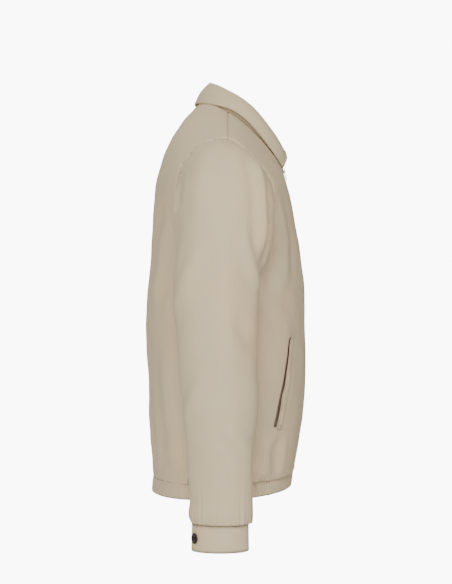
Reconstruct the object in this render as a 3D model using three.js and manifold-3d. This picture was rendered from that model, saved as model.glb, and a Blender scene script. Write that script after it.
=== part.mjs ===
// A zip-front blouson jacket, worn closed, in millimetres.
// Origin: centre-back neck seam. +Z is up, +Y is the wearer's back, -X the wearer's right.
// Every cloth piece is a layer of a lofted surface: a band between two offsets from it.
import * as THREE from 'three';
import { mergeVertices } from 'three/addons/utils/BufferGeometryUtils.js';
import Module from 'manifold-3d';

const wasm = await Module();
wasm.setup();

// ---- Driving dimensions ----
const GAP = 0.3;                  // clearance between touching pieces
const CLOTH = 1.6;                // outer fabric with its interlining
const LINING = 1.0;
const BACK_LENGTH = 660;          // neck seam to lower edge at centre back
const CHEST_BACK = 93.5;          // how far the back stands behind the neck seam
const CHEST_HALF = 205;           // half width of the body below the arms
const SHOULDER_HALF = 212;        // centre line to the armhole seam
const NECK_HALF = 80;
const NECK_DROP = 112;            // neck seam, centre back to centre front
const NECK_DEPTH = 135;
const NECK_SIDE_DROP = 28;        // neck seam, centre back to the side of the neck
const SHOULDER_DROP = 84;         // neck seam to shoulder tip
const ARMHOLE_DEPTH = 204;        // shoulder tip to underarm
const HEM_HALF = 195;
const HEM_HEIGHT = 25;
const HEM_THICK = 4.6;            // folded band with its elastic
const HEM_RISE = 10;              // how much higher the lower edge is at the front
const FRONT_BULGE = 31;           // how far the closed front bows forward of its chord
const FRONT_HEM_Y = -151;
const SEAM_Y = -44;               // plane of the shoulder and side seams
const ELASTIC_BACK_Y = 42;        // where the elasticated sides of the hem end
const ELASTIC_FRONT_Y = -124;
const COLLAR_STAND = 28;
const COLLAR_FALL = 40;
const COLLAR_SPREAD = 40;         // centre line to a collar point
const COLLAR_PLY = 1.2;
const ZIP_EDGE = 5;               // centre line to a front panel's edge
const TEETH_HALF = 3;
const TEETH_SLOT = 0.75;          // half of the slot that the slider's web runs in
const TEETH_THICK = 2.4;
const TAPE_EDGE = 16;
const TAPE = 0.8;
const FACING_EDGE = 50;
const SLIDER_HALF = 4.3;
const SLIDER_LENGTH = 11;
const PULL_LENGTH = 17;
const SLEEVE_OUT = 336;           // centre line to the outside of the sleeve
const SLEEVE_IN = 220;
const WRIST_Z = -678;             // seam between sleeve and cuff
const CUFF_HEIGHT = 42;
const CUFF_X = 280;
const CUFF_Y = -32;
const CUFF_HALF_X = 34;
const CUFF_HALF_Y = 44;
const CUFF_THICK = 4.2;
const TAB_PLY = 1.6;
const TAB_START = THREE.MathUtils.degToRad(40);
const TAB_END = THREE.MathUtils.degToRad(97);
const TAB_CLEAR = 0.6;
const SNAP_ANGLE = THREE.MathUtils.degToRad(61);
const SNAP_R = 8.3;
const STUD_R = 2;                 // the stud's post, through the cuff
const SHANK_R = 4;                // the cap's shank, through the tab
const FLANGE_R = 5;               // the stud's flange, inside the cuff
const POCKET_TOP = { x: 141, z: -399 };
const POCKET_BOTTOM = { x: 168, z: -542 };
const POCKET_MOUTH = 7;
const WELT = 11;
const WELT_PLY = 1.2;
const BAG_DEPTH = 8;              // hollow of the pocket bag
const BAG_PLY = 0.6;
const BAG_FRONT_X = 57;
const BAG_BOTTOM_Z = -598;
const BAG_ROOM = 9;               // how far the bag reaches past its mouth
const BAG_RISE = 14;
const NECK_FACING_HALF = NECK_HALF * 1.3;
const NECK_FACING_LOW = -64;
const LOOP_HALF = 30;
const LOOP_DROP = 11;

const TORSO_COLUMNS = 32;
const SLEEVE_COLUMNS = 16;
const UNDERARM_Z = -SHOULDER_DROP - ARMHOLE_DEPTH;
const HEM_FRONT_Z = -BACK_LENGTH + HEM_RISE;
const LINING_OUT = -CLOTH - GAP;
const LINING_IN = LINING_OUT - LINING;
const FACING_OUT = LINING_OUT - TAPE - GAP;

// ---- Materials ----
const cloth = (color, roughness = 0.9) =>
  new THREE.MeshStandardMaterial({ color, roughness, metalness: 0 });
const metal = (color, roughness) =>
  new THREE.MeshStandardMaterial({ color, roughness, metalness: 0.9 });
const SHELL = cloth(0xc3b7a3);
const SHELL_INNER = cloth(0xbaad99);
const LINING_CLOTH = cloth(0xa3917a, 0.6);
const TAPE_CLOTH = cloth(0xa89b87);
const ELASTIC_CLOTH = cloth(0xe4dfd4);
const GUNMETAL = metal(0x6a5f57, 0.35);
const DARK_METAL = metal(0x55504c, 0.4);

// ---- Solids ----
function solid(geometry) {
  const bare = geometry.index ? geometry.toNonIndexed() : geometry.clone();
  bare.deleteAttribute('normal');
  bare.deleteAttribute('uv');
  const merged = mergeVertices(bare, 1e-4);
  return new wasm.Manifold(new wasm.Mesh({
    numProp: 3,
    vertProperties: new Float32Array(merged.attributes.position.array),
    triVerts: new Uint32Array(merged.index.array),
  }));
}

function meshOf(name, manifold, material) {
  const made = manifold.getMesh();
  const geometry = new THREE.BufferGeometry();
  geometry.setAttribute('position', new THREE.BufferAttribute(made.vertProperties, 3));
  geometry.setIndex(new THREE.BufferAttribute(made.triVerts, 1));
  geometry.computeVertexNormals();
  const mesh = new THREE.Mesh(geometry, material);
  mesh.name = name;
  return mesh;
}

function box(x0, x1, y0, y1, z0, z1) {
  const geometry = new THREE.BoxGeometry(x1 - x0, y1 - y0, z1 - z0);
  geometry.translate((x0 + x1) / 2, (y0 + y1) / 2, (z0 + z1) / 2);
  return solid(geometry);
}

// A box on one side of the jacket: its x values count outwards from the centre line.
const sideBox = (side, x0, x1, ...rest) =>
  side > 0 ? box(x0, x1, ...rest) : box(-x1, -x0, ...rest);

// A prism along Y whose outline is given as [x, z] points, x counting outwards.
function prism(side, outline, y0, y1) {
  const points = outline.map(([x, z]) => new THREE.Vector2(side * x, z));
  const shape = new THREE.Shape(THREE.ShapeUtils.isClockWise(points) ? points.reverse() : points);
  const geometry = new THREE.ExtrudeGeometry(shape, { depth: y1 - y0, bevelEnabled: false });
  geometry.rotateX(Math.PI / 2);
  geometry.translate(0, y1, 0);
  return solid(geometry);
}

// ---- Surfaces: grids of points, rows along the piece and columns around it ----
function gridNormals(grid, closed) {
  const rows = grid.length;
  const columns = grid[0].length;
  return grid.map((row, i) => row.map((point, j) => {
    const left = closed ? (j + columns - 1) % columns : Math.max(j - 1, 0);
    const right = closed ? (j + 1) % columns : Math.min(j + 1, columns - 1);
    const across = grid[i][right].clone().sub(grid[i][left]);
    const along = grid[Math.min(i + 1, rows - 1)][j].clone().sub(grid[Math.max(i - 1, 0)][j]);
    return along.cross(across).normalize();
  }));
}

// The closed band between two offsets from a grid; a positive offset lies outside it.
function layer(grid, outer, inner, closed = true) {
  const normals = gridNormals(grid, closed);
  const rows = grid.length;
  const columns = grid[0].length;
  const points = [outer, inner].map((offset) => grid.map((row, i) =>
    row.map((point, j) => point.clone().addScaledVector(normals[i][j], offset))));
  const quads = [];
  const at = (side, i, j) => points[side][i][j % columns];
  const steps = closed ? columns : columns - 1;
  for (let j = 0; j < steps; j += 1) {
    for (let i = 0; i < rows - 1; i += 1) {
      quads.push([at(0, i, j), at(0, i, j + 1), at(0, i + 1, j + 1), at(0, i + 1, j)]);
      quads.push([at(1, i, j), at(1, i + 1, j), at(1, i + 1, j + 1), at(1, i, j + 1)]);
    }
    const last = rows - 1;
    quads.push([at(0, 0, j), at(1, 0, j), at(1, 0, j + 1), at(0, 0, j + 1)]);
    quads.push([at(0, last, j), at(0, last, j + 1), at(1, last, j + 1), at(1, last, j)]);
  }
  if (!closed) {
    const end = columns - 1;
    for (let i = 0; i < rows - 1; i += 1) {
      quads.push([at(0, i, 0), at(0, i + 1, 0), at(1, i + 1, 0), at(1, i, 0)]);
      quads.push([at(0, i, end), at(1, i, end), at(1, i + 1, end), at(0, i + 1, end)]);
    }
  }
  const position = quads.flatMap(([a, b, c, d]) => [a, c, b, a, d, c].flatMap((p) => p.toArray()));
  const geometry = new THREE.BufferGeometry();
  geometry.setAttribute('position', new THREE.Float32BufferAttribute(position, 3));
  return solid(geometry);
}

// ---- The closed front: a circular arc in the plane x = 0 ----
const frontTop = new THREE.Vector2(-NECK_DEPTH, -NECK_DROP);
const frontBottom = new THREE.Vector2(FRONT_HEM_Y, HEM_FRONT_Z);
const frontChord = frontBottom.clone().sub(frontTop);
const FRONT_RADIUS = (frontChord.lengthSq() / 4 + FRONT_BULGE ** 2) / (2 * FRONT_BULGE);
const inward = new THREE.Vector2(-frontChord.y, frontChord.x).normalize();
const frontCentre = frontTop.clone().add(frontBottom).multiplyScalar(0.5)
  .addScaledVector(inward, FRONT_RADIUS - FRONT_BULGE);
const frontY = (z) =>
  frontCentre.x - Math.sqrt(FRONT_RADIUS ** 2 - (z - frontCentre.y) ** 2);
const frontAngle = (z) => Math.asin((z - frontCentre.y) / FRONT_RADIUS);

// A point beside the closed front: offset outwards from the arc at height angle psi.
const frontPoint = (x, offset, psi) => new THREE.Vector3(
  x,
  frontCentre.x - (FRONT_RADIUS + offset) * Math.cos(psi),
  frontCentre.y + (FRONT_RADIUS + offset) * Math.sin(psi),
);

// ---- Torso and collar rings ----
// A ring runs from the wearer's left side round the back, and its halves are superellipses.
function ring({ half, side, back, front, power = 2.3, dip = 1 }, columns = TORSO_COLUMNS) {
  return Array.from({ length: columns }, (_, j) => {
    const angle = (2 * Math.PI * j) / columns;
    const c = Math.cos(angle);
    const s = Math.sin(angle);
    const x = half * Math.sign(c) * Math.abs(c) ** (2 / power);
    const reach = Math.abs(s) ** (2 / power);
    const end = s >= 0 ? back : front;
    const fall = s >= 0 ? reach : reach ** dip;
    return new THREE.Vector3(
      Math.abs(c) < 1e-9 ? 0 : x,
      side[0] + (end[0] - side[0]) * reach,
      side[1] + (end[1] - side[1]) * fall,
    );
  });
}

const frontEnd = (z) => [frontY(z), z];
const deep = (share) => CHEST_BACK * share;
const shoulder = (share) => -NECK_SIDE_DROP - (SHOULDER_DROP - NECK_SIDE_DROP) * share;
const armholeZ = (share) => -SHOULDER_DROP - ARMHOLE_DEPTH * share;
const spanX = (share) => NECK_HALF + (SHOULDER_HALF - NECK_HALF) * share;

// From the neck seam over the shoulders to the underarm.
const yokeRing = (half, sideZ, back, front, power = 2.3, dip = 1) =>
  ({ half, side: [SEAM_Y, sideZ], back, front, power, dip });
const yoke = [
  yokeRing(NECK_HALF, -NECK_SIDE_DROP, [0, 0], -NECK_DROP, 2, 1.3),
  yokeRing(spanX(0.24), shoulder(0.25), [deep(0.17), -20], -NECK_DROP - 9, 2.05, 1.3),
  yokeRing(spanX(0.53), shoulder(0.54), [deep(0.37), -43], -NECK_DROP - 18, 2.1, 1.25),
  yokeRing(spanX(0.8), shoulder(0.79), [deep(0.54), -70], -NECK_DROP - 28, 2.2, 1.2),
  yokeRing(spanX(1), -SHOULDER_DROP, [deep(0.65), -94], -NECK_DROP - 36, 2.3, 1.1),
  yokeRing(SHOULDER_HALF + 26, armholeZ(0.08), [deep(0.73), -118], -NECK_DROP - 44),
  yokeRing(SHOULDER_HALF + 49, armholeZ(0.25), [deep(0.82), armholeZ(0.32)], armholeZ(0.42)),
  yokeRing(SHOULDER_HALF + 42, armholeZ(0.5), [deep(0.88), armholeZ(0.52)], armholeZ(0.57)),
  yokeRing(SHOULDER_HALF + 22, armholeZ(0.77), [deep(0.94), armholeZ(0.77)], armholeZ(0.78)),
];

// From the underarm to the seam of the hem band.
const hemSeam = (bottom) => bottom + HEM_HEIGHT;
const bodyZ = (share) => UNDERARM_Z + (hemSeam(-BACK_LENGTH + HEM_RISE / 2) - UNDERARM_Z) * share;
const bodyHalf = (share) => CHEST_HALF + (HEM_HALF - CHEST_HALF) * share ** 2;
const bodyRing = (share, back, half = bodyHalf(share)) => ({
  half, side: [SEAM_Y, bodyZ(share)], back: [deep(back), bodyZ(share)], front: bodyZ(share),
});
const body = [
  bodyRing(0, 0.965, SHOULDER_HALF - 0.6),
  bodyRing(0.16, 1, CHEST_HALF + 2),
  bodyRing(0.34, 0.99),
  bodyRing(0.52, 0.965),
  bodyRing(0.68, 0.94),
  bodyRing(0.82, 0.915),
  bodyRing(0.92, 0.89),
];

const hemRing = (rise) => ({
  half: HEM_HALF,
  side: [SEAM_Y, -BACK_LENGTH + HEM_RISE / 2 + rise],
  back: [deep(0.905) - rise * 0.06, -BACK_LENGTH + rise],
  front: HEM_FRONT_Z + rise,
});

const placed = (station) => ring({ ...station, front: frontEnd(station.front) });
const torsoGrid = [...yoke, ...body, hemRing(HEM_HEIGHT + GAP)].map(placed);
const hemGrid = (low, high) => [
  hemRing(HEM_HEIGHT * high),
  hemRing(HEM_HEIGHT * low),
].map(placed);

const torso = (outer, inner) => layer(torsoGrid, outer, inner);
const withinArmholes = box(-SHOULDER_HALF, SHOULDER_HALF, -400, 400, -1500, 200);

const far = 1500;
const backHalf = box(-far, far, SEAM_Y + GAP / 2, far, -far, far);
const frontSide = (side, edge) => sideBox(side, edge, far, -far, SEAM_Y - GAP / 2, -far, far);

// ---- Pockets ----
const slitX = (z) => POCKET_TOP.x
  + (POCKET_BOTTOM.x - POCKET_TOP.x) * (z - POCKET_TOP.z) / (POCKET_BOTTOM.z - POCKET_TOP.z);

// A slanted strip along the pocket mouth, from a to b beside the slit, with its ends moved by extra.
const mouthStrip = (side, a, b, extra = 0) => prism(side, [
  [slitX(POCKET_TOP.z) + a, POCKET_TOP.z + extra],
  [slitX(POCKET_TOP.z) + b, POCKET_TOP.z + extra],
  [slitX(POCKET_BOTTOM.z) + b, POCKET_BOTTOM.z - extra],
  [slitX(POCKET_BOTTOM.z) + a, POCKET_BOTTOM.z - extra],
], -far, SEAM_Y - 10);

const pocketMouth = (side) => mouthStrip(side, -POCKET_MOUTH / 2, POCKET_MOUTH / 2);

// The bag's outline, grown by edge on every side.
const bagOutline = (side, edge) => prism(side, [
  [BAG_FRONT_X - edge, POCKET_TOP.z + BAG_RISE + edge],
  [POCKET_TOP.x + BAG_ROOM + edge, POCKET_TOP.z + BAG_RISE + edge],
  [POCKET_BOTTOM.x + BAG_ROOM + edge, POCKET_BOTTOM.z - 12],
  [POCKET_BOTTOM.x - 8 + edge, BAG_BOTTOM_Z - edge],
  [BAG_FRONT_X - edge, BAG_BOTTOM_Z - edge],
], -far, SEAM_Y - 6);

const BAG_IN = LINING_OUT - 2 * BAG_PLY - BAG_DEPTH;

function pocketBag(side) {
  const hollow = torso(LINING_OUT - BAG_PLY, BAG_IN + BAG_PLY).intersect(bagOutline(side, -1));
  const mouth = torso(-CLOTH / 2, LINING_OUT - BAG_DEPTH / 2).intersect(pocketMouth(side));
  return torso(LINING_OUT, BAG_IN).intersect(bagOutline(side, 0)).subtract(hollow).subtract(mouth);
}

const pocketWelt = (side) =>
  torso(GAP + WELT_PLY, GAP).intersect(mouthStrip(side, -POCKET_MOUTH / 2 - WELT, -POCKET_MOUTH / 2, 4));

// ---- Torso pieces ----
function frontPanel(side) {
  return torso(0, -CLOTH).intersect(withinArmholes).intersect(frontSide(side, ZIP_EDGE))
    .subtract(pocketMouth(side));
}

const backPanel = () => torso(0, -CLOTH).intersect(withinArmholes).intersect(backHalf);

const neckFacingZone = box(-NECK_FACING_HALF, NECK_FACING_HALF, SEAM_Y, far, NECK_FACING_LOW, far);
const frontFacingZone = (side, edge) => sideBox(side, edge, FACING_EDGE, -far, SEAM_Y, -far, far);

const frontFacing = (side) => torso(FACING_OUT, FACING_OUT - LINING)
  .intersect(frontFacingZone(side, SLIDER_HALF + 3.7));

const backNeckFacing = () => torso(LINING_OUT, LINING_IN).intersect(neckFacingZone);

function bodyLining() {
  let lining = torso(LINING_OUT, LINING_IN).intersect(withinArmholes);
  for (const side of [-1, 1]) {
    const cover = torso(LINING_OUT, BAG_IN - GAP - LINING).intersect(bagOutline(side, GAP + LINING));
    const room = torso(-CLOTH / 2, BAG_IN - GAP).intersect(bagOutline(side, GAP));
    lining = lining.add(cover).subtract(room);
  }
  const edge = FACING_EDGE + GAP;
  const frontZone = box(-edge, edge, -far, SEAM_Y, -far, far);
  const neckZone = box(-NECK_FACING_HALF - GAP, NECK_FACING_HALF + GAP, SEAM_Y - GAP, far,
    NECK_FACING_LOW - GAP, far);
  return lining.subtract(frontZone).subtract(neckZone);
}

// ---- Hem band: flat at the back and beside the zip, elasticated at the sides ----
const hem = (outer, inner, low = 0, high = 1) => layer(hemGrid(low, high), outer, inner);
const CASING = 1.5;
const hemSideZone = (side, inset) => sideBox(side, 0, far,
  ELASTIC_FRONT_Y + inset, ELASTIC_BACK_Y - inset, -far, far);

const hemBack = () => hem(0, -HEM_THICK)
  .intersect(box(-far, far, ELASTIC_BACK_Y + GAP / 2, far, -far, far));
const hemTab = (side) => hem(0, -HEM_THICK)
  .intersect(sideBox(side, ZIP_EDGE, far, -far, ELASTIC_FRONT_Y - GAP / 2, -far, far));
const hemCasing = (side) => hem(0, -HEM_THICK).intersect(hemSideZone(side, GAP / 2))
  .subtract(hem(-CASING, CASING - HEM_THICK, 0.12, 0.88));
const hemElastic = (side) => hem(-CASING - GAP, CASING + GAP - HEM_THICK, 0.14, 0.86)
  .intersect(hemSideZone(side, GAP));

// ---- Collar: a stand, and a fall of two plies turned down over it ----
const collarRing = (half, side, back, front) => ring({ half, side, back, front, power: 2, dip: 1.3 });
const standTop = COLLAR_STAND - 2;
const collarBase = ring({ half: NECK_HALF, side: [SEAM_Y, -NECK_SIDE_DROP + 0.6], back: [-0.5, 0.6],
  front: [-NECK_DEPTH, -NECK_DROP + 0.6], power: 2, dip: 1.3 });
const collarFold = (out, up) =>
  collarRing(70 + out, [-60, -2 + up], [-12 + out, standTop + up], [-139 - out, -90 + up]);
const fallDown = COLLAR_FALL - 5;
const collarEdge = collarRing(95, [-51, -24.5], [15.5, standTop - fallDown + 0.5], [-145, -129]);
const collarMiddle = collarRing(86, [-57, -11], [6, standTop - fallDown * 0.42], [-147, -105]);

const openFront = (half) => box(-half, half, -far, SEAM_Y, -far, far);
const collarNotch = prism(1, [
  [-6, -70], [6, -70], [6, -90], [COLLAR_SPREAD, -119], [COLLAR_SPREAD + 12, -129],
  [COLLAR_SPREAD + 12, -200], [-COLLAR_SPREAD - 12, -200], [-COLLAR_SPREAD - 12, -129],
  [-COLLAR_SPREAD, -119], [-6, -90],
], -far, -90);

const collarStand = () => layer([collarFold(0, 0), collarBase], 0, -CLOTH).subtract(openFront(ZIP_EDGE));
const topCollar = () => layer([collarFold(-0.5, 2.2), collarFold(4, 1.2), collarMiddle, collarEdge],
  0, -COLLAR_PLY).subtract(collarNotch);
const underCollar = () => layer([collarFold(4, 0.2), collarMiddle, collarEdge],
  -COLLAR_PLY - GAP, -2 * COLLAR_PLY - GAP).subtract(collarNotch);

// ---- Zip: tapes, tooth rows with a slot between them, slider, pull, stops, box and pin ----
const ZIP_TOP = -NECK_DROP;
const ZIP_END = HEM_FRONT_Z + 10;
const TEETH_OUT = -0.9;

function arcStrip(x0, x1, outer, inner, zTop, zBottom, steps) {
  const grid = Array.from({ length: steps + 1 }, (_, i) => {
    const psi = frontAngle(zTop + ((zBottom - zTop) * i) / steps);
    return [frontPoint(x0, outer, psi), frontPoint(x1, outer, psi)];
  });
  return layer(grid, 0, inner - outer, false);
}

const sideStrip = (side, x0, x1, ...rest) =>
  side > 0 ? arcStrip(x0, x1, ...rest) : arcStrip(-x1, -x0, ...rest);

const zipTape = (side) => torso(LINING_OUT, LINING_OUT - TAPE)
  .intersect(sideBox(side, TEETH_HALF + GAP, TAPE_EDGE, -far, SEAM_Y, -far, far));
const zipTeeth = (side) => sideStrip(side, TEETH_SLOT, TEETH_HALF, TEETH_OUT, TEETH_OUT - TEETH_THICK,
  ZIP_TOP - 3, ZIP_END + GAP, 26);
const zipStop = (side) => sideStrip(side, TEETH_SLOT, TEETH_HALF, TEETH_OUT + 0.2,
  TEETH_OUT - TEETH_THICK - 0.2, ZIP_TOP + 0.3, ZIP_TOP - 3 + GAP, 1);
const zipPin = (side) => sideStrip(side, TEETH_SLOT, TEETH_HALF, TEETH_OUT, TEETH_OUT - TEETH_THICK,
  ZIP_END, HEM_FRONT_Z + 1, 1);
const zipBox = () => sideStrip(1, GAP, SLIDER_HALF, TEETH_OUT + 0.4, TEETH_OUT - TEETH_THICK - 0.6,
  ZIP_END, HEM_FRONT_Z + 1, 1);

// The slider in its own frame: -Y points out of the jacket and +Z up along the zip.
const PLATE = 1.2;
const plateOut = -TEETH_OUT - 0.4;
const plateIn = -TEETH_OUT + TEETH_THICK + 0.4;
const PIVOT_OUT = -plateOut + PLATE + 1.5;
const WEB = 0.35;

function slider() {
  const h = SLIDER_LENGTH / 2;
  const top = box(-SLIDER_HALF, SLIDER_HALF, plateOut - PLATE, plateOut, -h, h);
  const bottom = box(-SLIDER_HALF, SLIDER_HALF, plateIn, plateIn + PLATE, -h, h);
  const web = box(-WEB, WEB, plateOut - PLATE / 2, plateIn + PLATE / 2, h - 5, h);
  const arch = box(-0.6, 0.6, -PIVOT_OUT - 1.8, plateOut - PLATE / 2, -3.6, 3.6);
  const window = box(-1, 1, -PIVOT_OUT - 0.9, -PIVOT_OUT + 0.9, -2.4, 2.4);
  return top.add(bottom).add(web).add(arch).subtract(window);
}

function pull() {
  const bar = box(-2.6, 2.6, -PIVOT_OUT - 0.5, -PIVOT_OUT + 0.5, -0.5, 0.5);
  const frame = box(-2.6, 2.6, -PIVOT_OUT - 0.6, -PIVOT_OUT + 0.6, -6, 0.6);
  const eye = box(-1.2, 1.2, -PIVOT_OUT - 2, -PIVOT_OUT + 2, -4.8, 2);
  const plate = box(-3.4, 3.4, -PIVOT_OUT - 0.6, -PIVOT_OUT + 0.6, -PULL_LENGTH, -5.4);
  return frame.subtract(eye).add(bar).add(plate);
}

// ---- Sleeves ----
// Where the torso surface crosses the armhole plane, as [y, z] points.
function armholeCrossings() {
  const found = [];
  const cross = (p, q) => {
    if ((p.x - SHOULDER_HALF) * (q.x - SHOULDER_HALF) < 0) {
      found.push(p.clone().lerp(q, (SHOULDER_HALF - p.x) / (q.x - p.x)));
    }
  };
  torsoGrid.forEach((row, i) => row.forEach((p, j) => {
    cross(p, row[(j + 1) % row.length]);
    if (i > 0) {
      cross(torsoGrid[i - 1][j], p);
    }
  }));
  return found;
}

const armholeMid = new THREE.Vector2(-38, armholeZ(0.5));

// The armhole seam, resampled at even angles about its middle, from the shoulder towards the back.
function armholeSeam(columns) {
  const polar = armholeCrossings().map((p) => {
    const y = p.y - armholeMid.x;
    const z = p.z - armholeMid.y;
    return { angle: (Math.atan2(y, z) + 2 * Math.PI) % (2 * Math.PI), radius: Math.hypot(y, z) };
  }).sort((a, b) => a.angle - b.angle);
  const wrapped = [
    { ...polar.at(-1), angle: polar.at(-1).angle - 2 * Math.PI },
    ...polar,
    { ...polar[0], angle: polar[0].angle + 2 * Math.PI },
  ];
  return Array.from({ length: columns }, (_, j) => {
    const angle = (2 * Math.PI * j) / columns;
    const next = wrapped.findIndex((p) => p.angle > angle);
    const a = wrapped[next - 1];
    const b = wrapped[next];
    const radius = a.radius + (b.radius - a.radius) * (angle - a.angle) / (b.angle - a.angle);
    return [armholeMid.x + radius * Math.sin(angle), armholeMid.y + radius * Math.cos(angle)];
  });
}

// Each station: outer point, inner point, front edge and back edge of the sleeve tube.
const sleeveZ = (share) => UNDERARM_Z + (WRIST_Z + GAP - UNDERARM_Z) * share;
const station = (out, inner, front, back) => ({ out, inner, front, back });
const sleeveStations = [
  station([SHOULDER_HALF + 28, armholeZ(0.05)], [SHOULDER_HALF + 1.6, armholeZ(1.01)], -112, 37),
  station([SHOULDER_HALF + 57, armholeZ(0.14)], [SHOULDER_HALF + 2.6, armholeZ(1.03)], -111, 37),
  station([SHOULDER_HALF + 84, armholeZ(0.3)], [SHOULDER_HALF + 3.6, armholeZ(1.05)], -108, 36.5),
  station([SLEEVE_OUT - 21, armholeZ(0.54)], [SHOULDER_HALF + 5, armholeZ(1.09)], -104, 36),
  station([SLEEVE_OUT - 8, armholeZ(0.82)], [SLEEVE_IN - 1, armholeZ(1.17)], -97, 35.6),
  station([SLEEVE_OUT - 1, sleeveZ(0.09)], [SLEEVE_IN, sleeveZ(0.17)], -92, 35.6),
  station([SLEEVE_OUT, sleeveZ(0.27)], [SLEEVE_IN + 3, sleeveZ(0.31)], -90, 34.5),
  station([SLEEVE_OUT - 1, sleeveZ(0.46)], [SLEEVE_IN + 9, sleeveZ(0.48)], -89, 29),
  station([SLEEVE_OUT - 7, sleeveZ(0.66)], [SLEEVE_IN + 17, sleeveZ(0.66)], -86, 22),
  station([SLEEVE_OUT - 14, sleeveZ(0.84)], [SLEEVE_IN + 23, sleeveZ(0.84)], -81, 17),
  station([CUFF_X + CUFF_HALF_X + 1, sleeveZ(1)], [CUFF_X - CUFF_HALF_X - 1, sleeveZ(1)],
    CUFF_Y - CUFF_HALF_Y - 0.5, CUFF_Y + CUFF_HALF_Y + 1),
];

function sleeveRing({ out, inner, front, back }) {
  return Array.from({ length: SLEEVE_COLUMNS }, (_, j) => {
    const angle = (2 * Math.PI * j) / SLEEVE_COLUMNS;
    const reach = (1 + Math.cos(angle)) / 2;
    return new THREE.Vector3(
      inner[0] + (out[0] - inner[0]) * reach,
      (front + back) / 2 + ((back - front) / 2) * Math.sin(angle),
      inner[1] + (out[1] - inner[1]) * reach,
    );
  });
}

function sleeveGrid(side) {
  const seam = armholeSeam(SLEEVE_COLUMNS);
  const start = [SHOULDER_HALF - 6, SHOULDER_HALF + GAP].map((x) =>
    seam.map(([y, z]) => new THREE.Vector3(x, y, z)));
  const rows = [...start, ...sleeveStations.map(sleeveRing)];
  const mirrored = rows.map((row) => row.map((p) => new THREE.Vector3(-p.x, p.y, p.z)).reverse());
  return side > 0 ? rows : mirrored;
}

const grids = { '1': sleeveGrid(1), '-1': sleeveGrid(-1) };
const beyondArmhole = (side) => sideBox(side, SHOULDER_HALF + GAP, far, -far, far, -far, far);
const sleeve = (side, outer, inner) => layer(grids[side], outer, inner).intersect(beyondArmhole(side));

// The underside of the sleeve, on the body's side of a plane through the two sleeve seams.
const underZone = (side, shift) => prism(side, [
  [SHOULDER_HALF - 20 + shift, 0], [SHOULDER_HALF + 1 + shift, armholeZ(0.72)],
  [CUFF_X - 14 + shift, WRIST_Z - 40], [0, WRIST_Z - 40], [0, 0],
], -far, far);

const topSleeve = (side) => sleeve(side, 0, -CLOTH).subtract(underZone(side, GAP / 2));
const underSleeve = (side) => sleeve(side, 0, -CLOTH).intersect(underZone(side, -GAP / 2));
const sleeveLining = (side) => sleeve(side, LINING_OUT, LINING_IN);

// ---- Cuffs ----
// A point of the cuff's outline: angle 0 is the outside of the arm and 90 degrees the back.
function cuffPoint(side, angle, offset, z) {
  const c = Math.cos(angle);
  const s = Math.sin(angle);
  const length = Math.hypot(c / CUFF_HALF_X, s / CUFF_HALF_Y);
  return new THREE.Vector3(
    side * (CUFF_X + CUFF_HALF_X * c + (offset * c) / CUFF_HALF_X / length),
    CUFF_Y + CUFF_HALF_Y * s + (offset * s) / CUFF_HALF_Y / length,
    z,
  );
}

function cuffArc(side, from, to, outer, inner, z0, z1) {
  const whole = to - from >= 2 * Math.PI - 1e-6;
  const steps = Math.max(4, Math.round((to - from) / (Math.PI / 14)));
  const angles = Array.from({ length: whole ? steps : steps + 1 }, (_, j) =>
    from + ((to - from) * j) / steps);
  const grid = [z1, z0].map((z) => angles.map((angle) => cuffPoint(side, angle, outer, z)));
  const rows = side > 0 ? grid : grid.map((row) => [...row].reverse());
  return layer(rows, 0, inner - outer, whole);
}

const cuffLow = WRIST_Z - CUFF_HEIGHT;
const UNDER_TAB = -TAB_PLY - TAB_CLEAR;
const cuffRadius = Math.hypot(CUFF_HALF_X, CUFF_HALF_Y) / Math.SQRT2;

function cuffBand(side) {
  const ringSolid = cuffArc(side, 0, 2 * Math.PI, 0, -CUFF_THICK, cuffLow, WRIST_Z);
  const slack = TAB_CLEAR / cuffRadius;
  const room = cuffArc(side, TAB_START - slack, TAB_END + slack, 6, UNDER_TAB, cuffLow - 1, WRIST_Z + 1);
  return ringSolid.subtract(room).subtract(snapHole(side, STUD_R + GAP));
}

const cuffTab = (side) =>
  cuffArc(side, TAB_START, TAB_END, 0, -TAB_PLY, cuffLow + GAP, WRIST_Z - GAP)
    .subtract(snapHole(side, SHANK_R + GAP));

// Snap fasteners: lathe solids whose axis is the cuff's normal, +Y of the profile pointing out.
function snapPlace(side, geometry) {
  const at = cuffPoint(side, SNAP_ANGLE, 0, WRIST_Z - CUFF_HEIGHT / 2);
  const normal = cuffPoint(side, SNAP_ANGLE, 1, WRIST_Z - CUFF_HEIGHT / 2).sub(at).normalize();
  const turn = new THREE.Quaternion().setFromUnitVectors(new THREE.Vector3(0, 1, 0), normal);
  return solid(geometry.applyQuaternion(turn).translate(at.x, at.y, at.z));
}

const lathe = (profile) =>
  new THREE.LatheGeometry(profile.map(([r, y]) => new THREE.Vector2(r, y)), 16);
const snapHole = (side, radius) => snapPlace(side, new THREE.CylinderGeometry(radius, radius, 24, 16));

const SOCKET_R = 2.7;
const snapCap = (side) => snapPlace(side, lathe([
  [0, GAP + 0.2], [SOCKET_R, GAP + 0.2], [SOCKET_R, -TAB_PLY], [SHANK_R, -TAB_PLY],
  [SHANK_R, GAP], [SNAP_R, GAP], [SNAP_R, GAP + 0.9], [SNAP_R * 0.75, GAP + 1.9],
  [0, GAP + 2.3],
]));

const FLANGE_IN = -CUFF_THICK - GAP - 0.5;
const HEAD_OUT = -TAB_PLY + 0.9;

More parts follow.
